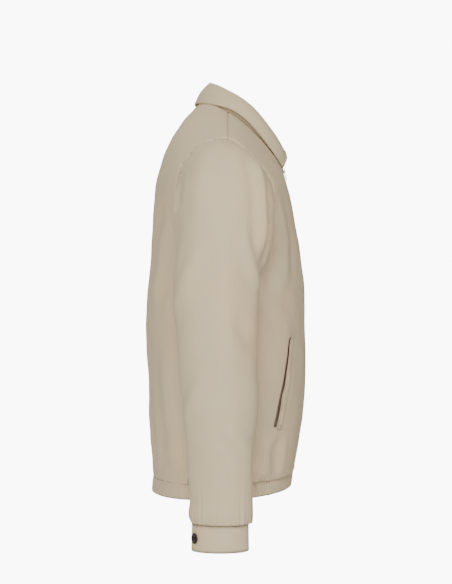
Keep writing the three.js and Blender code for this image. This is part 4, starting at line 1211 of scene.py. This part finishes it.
def edge_distance(points):
    """Distance of each point of an open grid from its last row and from its two ends."""
    down = np.cumsum(np.linalg.norm(np.diff(points[::-1], axis=0), axis=-1), axis=0)[::-1]
    down = np.concatenate([down, np.zeros((1, points.shape[1]))])
    ahead = np.linalg.norm(np.diff(points, axis=1), axis=-1)
    left = np.concatenate([np.zeros((len(points), 1)), np.cumsum(ahead, axis=1)], axis=1)
    right = left[:, -1:] - left
    return down, np.minimum(left, right)


def make_collar():
    _, stitching, _, _ = settings()
    points = collar_grid(TOP_COLLAR, 2.6 * MM)
    normals = grid_normals(points, closed=False)
    down, ahead = edge_distance(points)
    edge = np.minimum(down, ahead)
    lift = -1.1 * MM * np.clip(1 - edge / (2.2 * MM), 0, 1) ** 2
    lift += stitch_dents(edge, (stitching.inset,), 0.3 * MM, 1.0 * MM)
    lift += 0.25 * MM * np.clip(1 - np.abs(edge - 2.6 * MM) / (1.8 * MM), 0, 1)
    lift += (unevenness(points, 41, 0.07, 0.7 * MM) + unevenness(points, 42, 0.02, 0.12 * MM)) * smoothstep(edge / 0.01)
    run = np.cumsum(np.linalg.norm(np.diff(points[-1], axis=0), axis=-1))
    run = np.concatenate([[0], run])[None] + 0 * edge
    lift += puckers(run, np.abs(edge - stitching.inset), 0.006, 0.003, 0.12 * MM, seed=44)
    worn = pushed(points, normals, lift)
    SURFACES["collar"], SURFACES["collar_edge"] = worn, (down, ahead)
    top = add_object("top_collar_cloth", grid_mesh("top_collar", worn))
    finish_piece(thicken(top, 1.1 * MM), MATERIALS["shell"], BODY, ["top_collar"])
    points = collar_grid(UNDER_COLLAR, 3.2 * MM)
    normals = grid_normals(points, closed=False)
    down, ahead = edge_distance(points)
    tuck = -1.35 * MM - 0.25 * MM * np.clip(1 - np.minimum(down, ahead) / (2 * MM), 0, 1)
    under = add_object("under_collar_cloth", grid_mesh("under_collar", pushed(points, normals, tuck)))
    finish_piece(thicken(under, 1.1 * MM), MATERIALS["facing"], BODY, ["under_collar"])
    points = collar_grid(STAND, 2.8 * MM, ease=0)
    stand = add_object("collar_stand_cloth", grid_mesh("collar_stand", points))
    finish_piece(thicken(stand, 1.4 * MM), MATERIALS["shell"], BODY, ["collar_stand"])


# ---- Hem band: flat at the back and beside the zip, gathered over elastic at the sides ----
HEM_PLY = 4.4 * MM
BAND_TUCK = 0.9 * MM        # how far the band reaches up into the seam


def hem_surface(step=1.3 * MM):
    """The band as a closed tube: section points by columns round the hem."""
    section = band_section(HEM_HEIGHT + 0.6 * MM, HEM_PLY, 1.3 * MM)
    fine = np.linspace(0, 2 * math.pi, 4000)
    middle = ring_points(np.array([hem_row(HEM_HEIGHT / 2)]), fine)[0]
    run = np.concatenate([[0], np.cumsum(np.linalg.norm(np.diff(middle, axis=0), axis=1))])
    count = int(round(run[-1] / step))
    angles = np.interp(np.arange(count) * run[-1] / count, run, fine)
    run = np.interp(angles, fine, run)
    rows = np.array([hem_row(HEM_HEIGHT / 2 + BAND_TUCK + h) for h, _ in section])
    points = ring_points(rows, angles)
    flat = ring_points(np.array([hem_row(r) for r in (HEM_HEIGHT, HEM_HEIGHT / 2, 0)]), angles)
    normals = grid_normals(flat, closed=True)[1][None]
    y = points[..., 1]
    gathered = smoothstep((y - ELASTIC_FRONT_Y - 0.004) / 0.012) * smoothstep((ELASTIC_BACK_Y - 0.004 - y) / 0.012)
    height = section[:, 0][:, None]
    rng = np.random.default_rng(51)
    phase = rng.uniform(0, 6.28, 6)
    slant = height * 0.18
    along = run[None] + slant
    ribs = (np.sin(along * 2 * math.pi / 0.0061 + 1.6 * np.sin(along / 0.027 + phase[0]))
            + 0.45 * np.sin(along * 2 * math.pi / 0.0113 + phase[1] + height / 0.009)
            + 0.3 * np.sin(along * 2 * math.pi / 0.0039 + phase[2] - height / 0.006))
    belly = np.clip(1 - (height / (HEM_HEIGHT * 0.56)) ** 2, 0, 1)
    outer = section[:, 1][:, None] > 0
    lift = gathered * ribs * 1.55 * MM * (0.45 + 0.55 * belly)
    lift += gathered * 1.1 * MM * belly * outer
    lift += (1 - gathered) * outer * (unevenness(points, 52, 0.06, 0.35 * MM) * belly)
    lift += outer * stitch_dents(height, (-HEM_HEIGHT / 2 + 0.0052,), 0.25 * MM)
    depth = -HEM_PLY / 2 + section[:, 1][:, None]
    return pushed(points, normals + 0 * points, depth + np.where(outer, lift, 0.35 * lift)), run


def make_hem():
    rings, _ = hem_surface()
    SURFACES["hem"] = rings
    source = loop_tube("hem_band", rings, 1)
    parts = [("hem_band_cloth", [((0, ELASTIC_BACK_Y, 0), (0, 1, 0))], "hem_band_back")]
    for side, name in SIDES:
        middle = ((0, 0, 0), (side, 0, 0))
        parts.append((f"hem_tab_cloth_{name}", [((0, ELASTIC_FRONT_Y, 0), (0, -1, 0)),
                                                plane_x(side, ZIP_EDGE, True)], f"hem_tab_{name}"))
        parts.append((f"hem_casing_cloth_{name}", [((0, ELASTIC_BACK_Y, 0), (0, -1, 0)), middle,
                                                   ((0, ELASTIC_FRONT_Y, 0), (0, 1, 0))], f"hem_casing_{name}"))
    for label, planes, node_name in parts:
        mesh = seam_panel(label, source, planes, 0.0)
        bm = bmesh.new()
        bm.from_mesh(mesh)
        bmesh.ops.holes_fill(bm, edges=[e for e in bm.edges if e.is_boundary])
        bm.to_mesh(mesh)
        bm.free()
        finish_piece(add_object(label, mesh), MATERIALS["shell"], BODY, [node_name])
    for side, name in SIDES:
        sides = [a for a in np.linspace(0, 2 * math.pi, 1200, endpoint=False)]
        ring = ring_points(np.array([hem_row(HEM_HEIGHT * k) for k in (0.84, 0.5, 0.16)]), np.array(sides))
        normals = grid_normals(ring, closed=True)
        keep = np.where((side * ring[1, :, 0] > 0) & (ring[1, :, 1] < ELASTIC_BACK_Y - 0.001)
                        & (ring[1, :, 1] > ELASTIC_FRONT_Y + 0.001))[0]
        keep = np.roll(keep, -(np.argmax(np.diff(keep)) + 1)) if np.any(np.diff(keep) > 1) else keep
        run = np.arange(len(keep)) * 1.1 * MM
        wave = 0.25 * MM * np.sin(run * 2 * math.pi / 0.0061)
        web = pushed(ring[:, keep], normals[:, keep], -2.0 * MM + wave[None] + 0 * ring[:, keep, 0])
        elastic = add_object(f"hem_elastic_knit_{name}", grid_mesh("elastic", web))
        finish_piece(thicken(elastic, 0.9 * MM), MATERIALS["elastic"], BODY, [f"hem_elastic_{name}"])


# ---- Lining, facings and the hanger loop ----
def inner_layer(name, planes, offset, material, node_name, ply=0.7 * MM, step=3, extra=None):
    """A panel of the inside that follows the worn surface at a distance within it."""
    worn, normals = SURFACES["worn"][::step], SURFACES["normals"][::step]
    inside = -offset + (0 * worn[..., 0] if extra is None else extra(worn))
    source = grid_mesh(name, pushed(worn, normals, inside)[:, ::2], closed=True)
    piece = add_object(name, seam_panel(name, source, planes))
    bpy.data.meshes.remove(source)
    return finish_piece(thicken(piece, ply), MATERIALS[material], BODY, [node_name] if node_name else ())


def bag_hollow(points):
    """How far the lining stands in over the pocket bags."""
    x, y, z = np.abs(points[..., 0]), points[..., 1], points[..., 2]
    over = smoothstep((x - 0.050) / 0.012) * smoothstep((slit_x(z) + 0.016 - x) / 0.012)
    tall = smoothstep((POCKET_TOP[1] + 0.022 - z) / 0.012) * smoothstep((z + 0.606) / 0.012)
    return -10.2 * MM * over * tall * (y < SEAM_Y - 0.006)


def make_inside():
    edge, gap = 0.050, 0.15 * MM
    near = 0.104
    both = [plane_x(side, SHOULDER_HALF, False) for side, _ in SIDES]
    inner_layer("body_lining_back", both + [((0, SEAM_Y, 0), (0, 1, 0))], 2.1 * MM, "lining",
                "body_lining", step=2)
    for side, name in SIDES:
        inner_layer(f"body_lining_front_{name}", [plane_x(side, edge + gap, True), plane_x(side, SHOULDER_HALF, False),
                                                  ((0, SEAM_Y, 0), (0, -1, 0))], 2.1 * MM, "lining", None,
                    step=2, extra=bag_hollow)
        inner_layer(f"front_facing_cloth_{name}", [plane_x(side, 0.008, True), plane_x(side, edge, False),
                                                   ((0, SEAM_Y, 0), (0, -1, 0))], 3.05 * MM, "facing",
                    f"front_facing_{name}", step=2)
        inner_layer(f"zip_tape_cloth_{name}", [plane_x(side, 0.0033, True), plane_x(side, 0.016, False),
                                               ((0, SEAM_Y, 0), (0, -1, 0))], 1.95 * MM, "tape",
                    f"zip_tape_{name}", step=2)
        inner_layer(f"pocket_bag_cloth_{name}",
                    [((0, SEAM_Y - 0.006, 0), (0, -1, 0)), plane_x(side, 0.057, True),
                     ((0, 0, POCKET_TOP[1] + 0.014), (0, 0, -1)), ((0, 0, -0.598), (0, 0, 1)),
                     plane_x(side, POCKET_BOTTOM[0] + 0.009, False)],
                    9.5 * MM, "lining", f"pocket_bag_{name}", ply=0.6 * MM, step=2)
        worn = SURFACES[f"sleeve_{name}"][::2, ::2]
        inside = pushed(worn, grid_normals(worn, closed=True), -2.1 * MM + 0 * worn[..., 0])
        inside[0, :, 0] = side * (SHOULDER_HALF + 0.4 * MM)
        sleeve = add_object(f"sleeve_lining_cloth_{name}", grid_mesh("sleeve_lining", inside, closed=True))
        finish_piece(thicken(sleeve, 0.7 * MM), MATERIALS["lining"], None, [f"sleeve_lining_{name}"])
        sleeve_blend(sleeve)
    inner_layer("neck_facing_cloth", [((0, SEAM_Y, 0), (0, 1, 0)), plane_x(1, near, False), plane_x(-1, near, False),
                                      ((0, 0, -0.064), (0, 0, 1))], 1.95 * MM, "facing",
                "back_neck_facing", ply=0.9 * MM, step=2)
    places = through([(-0.030, 0.0016, -0.0148), (-0.0186, -0.0015, -0.0203), (0, -0.003, -0.025),
                      (0.0186, -0.0015, -0.0203), (0.030, 0.0016, -0.0148)], np.linspace(0, 4, 60))
    section = band_section(6.0 * MM, 1.4 * MM, 0.5 * MM)
    along = np.gradient(places, axis=0)
    along /= np.linalg.norm(along, axis=1, keepdims=True)
    out = np.cross(along, (0, 0, 1.0))
    out /= np.linalg.norm(out, axis=1, keepdims=True)
    up = np.cross(out, along)
    rings = (places[:, None] + up[:, None] * section[None, :, :1] + out[:, None] * section[None, :, 1:])
    finish_piece(add_object("hanger_loop_cloth", closed_tube("hanger_loop", rings)), MATERIALS["facing"], BODY,
                 ["hanger_loop"])


# ---- Zip ----
ZIP_TOP = -NECK_DROP
ZIP_END = HEM_FRONT_Z + 0.010
TEETH_MIDDLE = -2.1 * MM
TAIL_NEAR, TAIL_FAR = 0.0, 7.5 * MM
TAIL_TOP = HEM_FRONT_Z + 0.036
TAIL_RISE = 0.0012
TAIL_DEPTH = -5.95 * MM
TAIL_PLY = 0.6 * MM


def tooth_mesh(size):
    """One tooth lying across its tape: a bar with a narrower rounded head, pointing along +X."""
    width, thick, tall = 2.3 * MM, 2.3 * MM, size
    outline = [(-0.5, -0.42), (0.08, -0.42), (0.16, -0.30), (0.30, -0.30), (0.42, -0.40), (0.5, -0.2),
               (0.5, 0.2), (0.42, 0.40), (0.30, 0.30), (0.16, 0.30), (0.08, 0.42), (-0.5, 0.42)]
    bm = bmesh.new()
    rings = []
    for depth, grow in ((-0.5, 0.86), (-0.38, 1.0), (0.38, 1.0), (0.5, 0.86)):
        rings.append([bm.verts.new((x * width * grow, depth * thick, z * tall * grow)) for x, z in outline])
    for a, b in zip(rings, rings[1:]):
        for k in range(len(outline)):
            bm.faces.new((a[k], a[(k + 1) % 12], b[(k + 1) % 12], b[k]))
    bm.faces.new(rings[0][::-1])
    bm.faces.new(rings[-1])
    bmesh.ops.recalc_face_normals(bm, faces=bm.faces[:])
    mesh = bpy.data.meshes.new("tooth")
    bm.to_mesh(mesh)
    bm.free()
    return shade(mesh, smooth=False)


def teeth_tree():
    """Teeth along a curve: one every Pitch, standing across it and facing the wearer's front."""
    tree, enter, leave = tree_with("zip_teeth", (("Pitch", "NodeSocketFloat"), ("Shape", "NodeSocketObject"),
                                                 ("Side", "NodeSocketFloat"), ("Material", "NodeSocketMaterial")))
    nodes, links = tree.nodes, tree.links
    resample = nodes.new("GeometryNodeResampleCurve")
    resample.mode = "LENGTH"
    points = nodes.new("GeometryNodeCurveToPoints")
    points.mode = "EVALUATED"
    flip = nodes.new("ShaderNodeCombineXYZ")
    turn = nodes.new("FunctionNodeAxesToRotation")
    shape = nodes.new("GeometryNodeObjectInfo")
    place = nodes.new("GeometryNodeInstanceOnPoints")
    realize = nodes.new("GeometryNodeRealizeInstances")
    paint = nodes.new("GeometryNodeSetMaterial")
    turn.primary_axis, turn.secondary_axis = "Z", "X"
    links.new(enter.outputs["Geometry"], resample.inputs["Curve"])
    links.new(enter.outputs["Pitch"], resample.inputs["Length"])
    links.new(resample.outputs["Curve"], points.inputs["Curve"])
    links.new(enter.outputs["Side"], flip.inputs["X"])
    links.new(points.outputs["Tangent"], turn.inputs[0])
    links.new(flip.outputs["Vector"], turn.inputs[1])
    links.new(points.outputs["Points"], place.inputs["Points"])
    links.new(turn.outputs["Rotation"], place.inputs["Rotation"])
    links.new(enter.outputs["Shape"], shape.inputs["Object"])
    links.new(shape.outputs["Geometry"], place.inputs["Instance"])
    links.new(place.outputs["Instances"], realize.inputs["Geometry"])
    links.new(realize.outputs["Geometry"], paint.inputs["Geometry"])
    links.new(enter.outputs["Material"], paint.inputs["Material"])
    links.new(paint.outputs["Geometry"], leave.inputs["Geometry"])
    return tree


def refined(label, node_name, material, body, width=0.25 * MM):
    """A copy of a frame node with its points merged and its edges bevelled."""
    bm = bmesh.new()
    bm.from_mesh(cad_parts[node_name].data)
    bmesh.ops.remove_doubles(bm, verts=bm.verts[:], dist=1e-6)
    bmesh.ops.dissolve_limit(bm, angle_limit=math.radians(1), verts=bm.verts[:], edges=bm.edges[:])
    mesh = bpy.data.meshes.new(label)
    bm.to_mesh(mesh)
    bm.free()
    piece = add_object(label, shade(mesh))
    bevel = piece.modifiers.new("edges", "BEVEL")
    bevel.width, bevel.segments, bevel.limit_method = width, 3, "ANGLE"
    bevel.harden_normals = True
    return finish_piece(piece, MATERIALS[material], body, [node_name])


def tape_tail(side, name):
    """The end of the tape, which carries the last teeth down to the pin and the box."""
    x = side * np.linspace(TAIL_NEAR, TAIL_FAR, 9)
    z = np.linspace(TAIL_TOP, HEM_FRONT_Z + TAIL_RISE, 26)
    across, down = np.meshgrid(x[::int(-side)], z)
    flat = front_point(across, TAIL_DEPTH, down)
    tail = add_object(f"zip_tape_tail_{name}", grid_mesh("zip_tape_tail", flat))
    finish_piece(thicken(tail, TAIL_PLY), MATERIALS["tape"], BODY)


def make_zip():
    pitch = settings()[2].tooth_pitch
    tree = teeth_tree()
    shape = add_object("tooth_shape", tooth_mesh(pitch * 0.56))
    for side, name in SIDES:
        start = ZIP_TOP - 0.0035 - (pitch / 2 if side > 0 else 0)
        z = np.linspace(start, ZIP_END + 0.0006, 160)
        row = curve_through(f"zip_row_{name}", [front_point(side * 1.75 * MM, TEETH_MIDDLE, z)])
        run_tree(row, tree, Pitch=pitch, Shape=shape, Side=float(-side), Material=MATERIALS["zip_metal"])
        row = baked(row)
        row.name = f"zip_teeth_metal_{name}"
        finish_piece(row, MATERIALS["zip_metal"], BODY, [f"zip_teeth_{name}"])
        refined(f"zip_stop_metal_{name}", f"zip_stop_{name}", "zip_metal", BODY)
        tape_tail(side, name)
    bpy.data.objects.remove(shape)
    refined("zip_box_metal", "zip_box", "zip_metal", BODY, 0.35 * MM)
    refined("zip_pin_metal", "zip_pin", "zip_metal", BODY, 0.2 * MM)
    refined("zip_slider_metal", "zip_slider", "zip_metal", "slider", 0.3 * MM)
    refined("zip_pull_metal", "zip_pull", "zip_metal", "pull", 0.3 * MM)


# ---- Pocket welts ----
def laid_on(tree, points, lift):
    """Points moved onto the nearest place of a surface and then off it by lift."""
    done = []
    for point in points:
        place, normal, _, _ = tree.find_nearest(Vector(point))
        done.append(place + normal * lift)
    return np.array(done)


def worn_tree():
    """The worn body surface as a search tree, for laying stitches and welts on it."""
    if "tree" not in SURFACES:
        bm = bmesh.new()
        bm.from_mesh(grid_mesh("search", SURFACES["worn"], closed=True))
        SURFACES["tree"] = BVHTree.FromBMesh(bm)
        bm.free()
    return SURFACES["tree"]


def on_front(side, x, z):
    """The worn front at |x| and z, found by a ray from in front of the jacket."""
    place, normal, _, _ = worn_tree().ray_cast(Vector((side * x, -0.6, z)), Vector((0, 1, 0)))
    return np.array(place), np.array(normal)


def make_pockets():
    for side, name in SIDES:
        count, rng = 110, np.random.default_rng(61 + side)
        phase = rng.uniform(0, 6.28, 2)
        section = band_section(WELT, 1.2 * MM, 0.5 * MM, steps=8)
        rings = []
        for z in np.linspace(POCKET_TOP[1] + 0.004, POCKET_BOTTOM[1] - 0.004, count):
            wave = 0.0013 * math.sin(z / 0.013 + phase[0]) + 0.0007 * math.sin(z / 0.0061 + phase[1])
            ring = []
            for across, depth in section:
                place, normal = on_front(side, slit_x(z) - 0.0080 - across + wave * (across < 0), z)
                dent = -0.4 * MM * math.exp(-((abs(across) - WELT / 2 + 0.0022) / 0.0008) ** 2) * (depth > 0)
                ring.append(place + normal * (1.0 * MM + depth + dent + 0.7 * MM * math.sin(z / 0.009 + phase[1])
                                              * (across < 0) * (depth > 0)))
            rings.append(ring)
        welt = add_object(f"pocket_welt_cloth_{name}", closed_tube("welt", np.array(rings)))
        finish_piece(welt, MATERIALS["shell"], BODY, [f"pocket_welt_{name}"])


# ---- Stitching ----
def sleeve_tree(name):
    bm = bmesh.new()
    bm.from_mesh(grid_mesh("search", SURFACES[f"sleeve_{name}"], closed=True))
    tree = BVHTree.FromBMesh(bm)
    bm.free()
    return tree


def make_stitching():
    _, stitching, _, _ = settings()
    inset, sunk = stitching.inset, 0.05 * MM
    rows = []
    for side, name in SIDES:
        line = [on_front(side, ZIP_EDGE + 0.0065, z) for z in np.linspace(-NECK_DROP - 0.012, -0.622, 260)]
        rows.append(np.array([p + n * sunk for p, n in line]))
        for offset in (-0.0080 - WELT / 2 + 0.0022, -0.0080 + WELT / 2 - 0.0022):
            line = [on_front(side, slit_x(z) + offset, z)
                    for z in np.linspace(POCKET_TOP[1] + 0.002, POCKET_BOTTOM[1] - 0.002, 90)]
            rows.append(np.array([p + n * 1.5 * MM for p, n in line]))
        for z in (POCKET_TOP[1] + 0.0015, POCKET_TOP[1] + 0.0002, POCKET_BOTTOM[1] + 0.0002,
                  POCKET_BOTTOM[1] - 0.0015, POCKET_BOTTOM[1] - 0.0030):
            line = [on_front(side, slit_x(z) + off, z) for off in np.linspace(-0.0138, 0.003, 12)]
            rows.append(np.array([p + n * 1.55 * MM for p, n in line]))
    stitched("body_stitching", rows, BODY)
    collar = SURFACES["collar"]
    down, ahead = SURFACES["collar_edge"]
    normals = grid_normals(collar, closed=False)
    level = np.array([np.interp(inset, down[::-1, j], np.arange(len(down))[::-1]) for j in range(down.shape[1])])
    columns = np.arange(collar.shape[1])
    kept = (ahead[-1] > inset)
    low = np.floor(level).astype(int)
    share = (level - low)[:, None]
    high = np.minimum(low + 1, len(collar) - 1)
    line = collar[low, columns] * (1 - share) + collar[high, columns] * share + normals[low, columns] * sunk
    ends = []
    for step in (1, -1):
        part = []
        for i in range(3, len(collar)):
            walk = np.where(ahead[i] >= inset)[0]
            j = walk[0] if step == 1 else walk[-1]
            if down[i, j] >= inset:
                part.append(collar[i, j] + normals[i, j] * sunk)
        ends.append(np.array(part))
    stitched("collar_stitching", [line[kept]] + ends, BODY)
    hem = SURFACES["hem"]
    height = hem[:, :, 2] - hem[:, :, 2].min(axis=0)
    outer = np.argmax(np.where(np.arange(len(hem))[:, None] >= 0, -np.abs(height - 0.0052) + 1e-3 * (
        np.linalg.norm(hem[:, :, :2], axis=-1) > np.linalg.norm(hem.mean(axis=0)[None, :, :2], axis=-1)), 0), axis=0)
    line = hem[outer, np.arange(hem.shape[1])]
    line = line + (line * (1, 1, 0)) / np.linalg.norm(line[:, :2], axis=1)[:, None] * 0.1 * MM
    front = np.abs(line[:, 0]) < ZIP_EDGE + 0.003
    breaks = np.where(front & (line[:, 1] < 0))[0]
    stitched("hem_stitching", [np.roll(line, -(breaks[-1] + 1), axis=0)[:-len(breaks)]], BODY)
    for side, name in SIDES:
        middle = WRIST_Z - CUFF_HEIGHT / 2
        levels = (middle + CUFF_HEIGHT / 2 - 0.0035, middle - CUFF_HEIGHT / 2 + 0.0035)
        fixed = [cuff_point(side, np.linspace(math.radians(a), math.radians(b), 90), sunk, z)
                 for z in levels for a, b in ((-99, 30), (101, 257))]
        stitched(f"cuff_stitching_{name}", fixed, f"sleeve_{name}")
        loose = [cuff_point(side, np.linspace(math.radians(49), math.radians(93.5), 50), sunk, z) for z in levels]
        loose.append(cuff_point(side, np.full(20, math.radians(93.5)), sunk, np.linspace(*levels, 20)))
        stitched(f"tab_stitching_{name}", loose, f"tab_{name}")
    bpy.data.objects.remove(TREES.pop("stitch_shape"))


# ---- Stage ----
WARM = (1.0, 0.975, 0.925)


def area_light(name, place, aim, size, power, tint=(1.0, 1.0, 1.0)):
    light = bpy.data.lights.new(name, "AREA")
    light.shape = "RECTANGLE"
    light.size, light.size_y = size
    light.energy = power
    light.color = tint
    lamp = add_object(name, light)
    lamp.location = place
    lamp.rotation_euler = (Vector(aim) - Vector(place)).to_track_quat("-Z", "Y").to_euler()
    return lamp


def make_stage():
    """A pale floor, broad soft lights on a white surround, and the camera."""
    stage = settings()[3]
    eye = Vector(stage.eye)
    turns = np.linspace(0, 2 * math.pi, 96, endpoint=False)
    rings = [[(r * math.cos(a), r * math.sin(a), -1.25) for a in turns] for r in (0.0002, 0.7, 1.3, 1.9)]
    floor = add_object("floor", grid_mesh("floor", np.array(rings), closed=True))
    floor.data.materials.append(MATERIALS["backdrop"])
    area_light("key", (-1.9, -1.1, 2.2), eye, (0.9, 0.9), 66, WARM)
    area_light("face_fill", (-2.9, 0.3, 0.2), eye, (1.2, 1.2), 75)
    area_light("front_fill", (-0.6, -2.6, 0.1), eye, (1.4, 1.8), 5)
    area_light("far_fill", (2.6, 0.9, 1.4), eye, (2.0, 2.0), 46)
    area_light("rear_fill", (0.6, 2.8, 0.9), eye, (2.0, 2.0), 30)
    world = bpy.data.worlds.new("studio")
    world.use_nodes = True
    nodes, links = world.node_tree.nodes, world.node_tree.links
    soft, plain = nodes["Background"], nodes.new("ShaderNodeBackground")
    soft.inputs["Color"].default_value = (1.0, 0.985, 0.96, 1.0)
    soft.inputs["Strength"].default_value = 0.25
    plain.inputs["Strength"].default_value = 12.0
    path, mix = nodes.new("ShaderNodeLightPath"), nodes.new("ShaderNodeMixShader")
    links.new(path.outputs["Is Camera Ray"], mix.inputs[0])
    links.new(soft.outputs[0], mix.inputs[1])
    links.new(plain.outputs[0], mix.inputs[2])
    links.new(mix.outputs[0], nodes["World Output"].inputs["Surface"])
    bpy.context.scene.world = world
    camera = bpy.data.cameras.new("camera")
    camera.lens = stage.lens
    camera.sensor_fit = "VERTICAL"
    camera.sensor_height = 36.0
    holder = add_object("camera", camera)
    holder.location = eye + Vector((-stage.distance, 0, 0))
    holder.rotation_euler = (math.pi / 2, 0, -math.pi / 2)
    bpy.context.scene.camera = holder


# ---- Operators ----
class JACKET_OT_materials(bpy.types.Operator):
    """Makes the cloths, the thread and the metals"""
    bl_idname = "jacket.materials"
    bl_label = "Materials"

    def execute(self, context):
        make_materials()
        return {"FINISHED"}


class JACKET_OT_panels(bpy.types.Operator):
    """Makes the front and back panels of the body"""
    bl_idname = "jacket.panels"
    bl_label = "Body panels"

    def execute(self, context):
        make_panels()
        return {"FINISHED"}


class JACKET_OT_sleeves(bpy.types.Operator):
    """Makes the top and under sleeves"""
    bl_idname = "jacket.sleeves"
    bl_label = "Sleeves"

    def execute(self, context):
        make_sleeves()
        return {"FINISHED"}


class JACKET_OT_cuffs(bpy.types.Operator):
    """Makes the cuffs and their tabs"""
    bl_idname = "jacket.cuffs"
    bl_label = "Cuffs"

    def execute(self, context):
        make_cuffs()
        return {"FINISHED"}


class JACKET_OT_snaps(bpy.types.Operator):
    """Makes the snap caps and studs"""
    bl_idname = "jacket.snaps"
    bl_label = "Snap fasteners"

    def execute(self, context):
        make_snaps()
        return {"FINISHED"}


class JACKET_OT_collar(bpy.types.Operator):
    """Makes the collar stand and the two plies of its fall"""
    bl_idname = "jacket.collar"
    bl_label = "Collar"

    def execute(self, context):
        make_collar()
        return {"FINISHED"}


class JACKET_OT_hem(bpy.types.Operator):
    """Makes the hem band, its tabs, casings and elastics"""
    bl_idname = "jacket.hem"
    bl_label = "Hem band"

    def execute(self, context):
        make_hem()
        return {"FINISHED"}


class JACKET_OT_inside(bpy.types.Operator):
    """Makes the lining, facings, pocket bags, zip tapes and hanger loop"""
    bl_idname = "jacket.inside"
    bl_label = "Inside"

    def execute(self, context):
        make_inside()
        return {"FINISHED"}


class JACKET_OT_zip(bpy.types.Operator):
    """Makes the zip teeth, stops, box, pin, slider and pull"""
    bl_idname = "jacket.zip"
    bl_label = "Zip"

    def execute(self, context):
        make_zip()
        return {"FINISHED"}


class JACKET_OT_pockets(bpy.types.Operator):
    """Makes the welts of the pockets"""
    bl_idname = "jacket.pockets"
    bl_label = "Pockets"

    def execute(self, context):
        make_pockets()
        return {"FINISHED"}


class JACKET_OT_stitching(bpy.types.Operator):
    """Makes the topstitching of the body, collar, hem and cuffs"""
    bl_idname = "jacket.stitching"
    bl_label = "Stitching"

    def execute(self, context):
        make_stitching()
        return {"FINISHED"}


class JACKET_OT_stage(bpy.types.Operator):
    """Makes the floor, the lights and the camera"""
    bl_idname = "jacket.stage"
    bl_label = "Stage"

    def execute(self, context):
        make_stage()
        return {"FINISHED"}


OPERATORS = (JACKET_OT_materials, JACKET_OT_panels, JACKET_OT_sleeves, JACKET_OT_cuffs, JACKET_OT_snaps,
             JACKET_OT_collar, JACKET_OT_hem, JACKET_OT_inside, JACKET_OT_zip,
             JACKET_OT_pockets, JACKET_OT_stitching, JACKET_OT_stage)


class JACKET_PT_tools(bpy.types.Panel):
    """Buttons that build the jacket, and its settings"""
    bl_idname = "JACKET_PT_tools"
    bl_label = "Blouson Jacket"
    bl_space_type = "VIEW_3D"
    bl_region_type = "UI"
    bl_category = "Jacket"

    def draw(self, context):
        for group in settings():
            for name in group.__annotations__:
                self.layout.prop(group, name)
        for operator in OPERATORS:
            self.layout.operator(operator.bl_idname)


GROUPS = {"jacket_cloth": JacketCloth, "jacket_stitching": JacketStitching,
          "jacket_hardware": JacketHardware, "jacket_stage": JacketStage}


def register():
    for kind in (*GROUPS.values(), *OPERATORS, JACKET_PT_tools):
        bpy.utils.register_class(kind)
    for name, kind in GROUPS.items():
        setattr(bpy.types.Scene, name, bpy.props.PointerProperty(type=kind))


def unregister():
    for name in GROUPS:
        delattr(bpy.types.Scene, name)
    for kind in reversed((*GROUPS.values(), *OPERATORS, JACKET_PT_tools)):
        bpy.utils.unregister_class(kind)


def main():
    register()
    for operator in OPERATORS:
        group, name = operator.bl_idname.split(".")
        getattr(getattr(bpy.ops, group), name)()


if __name__ == "__main__":
    main()
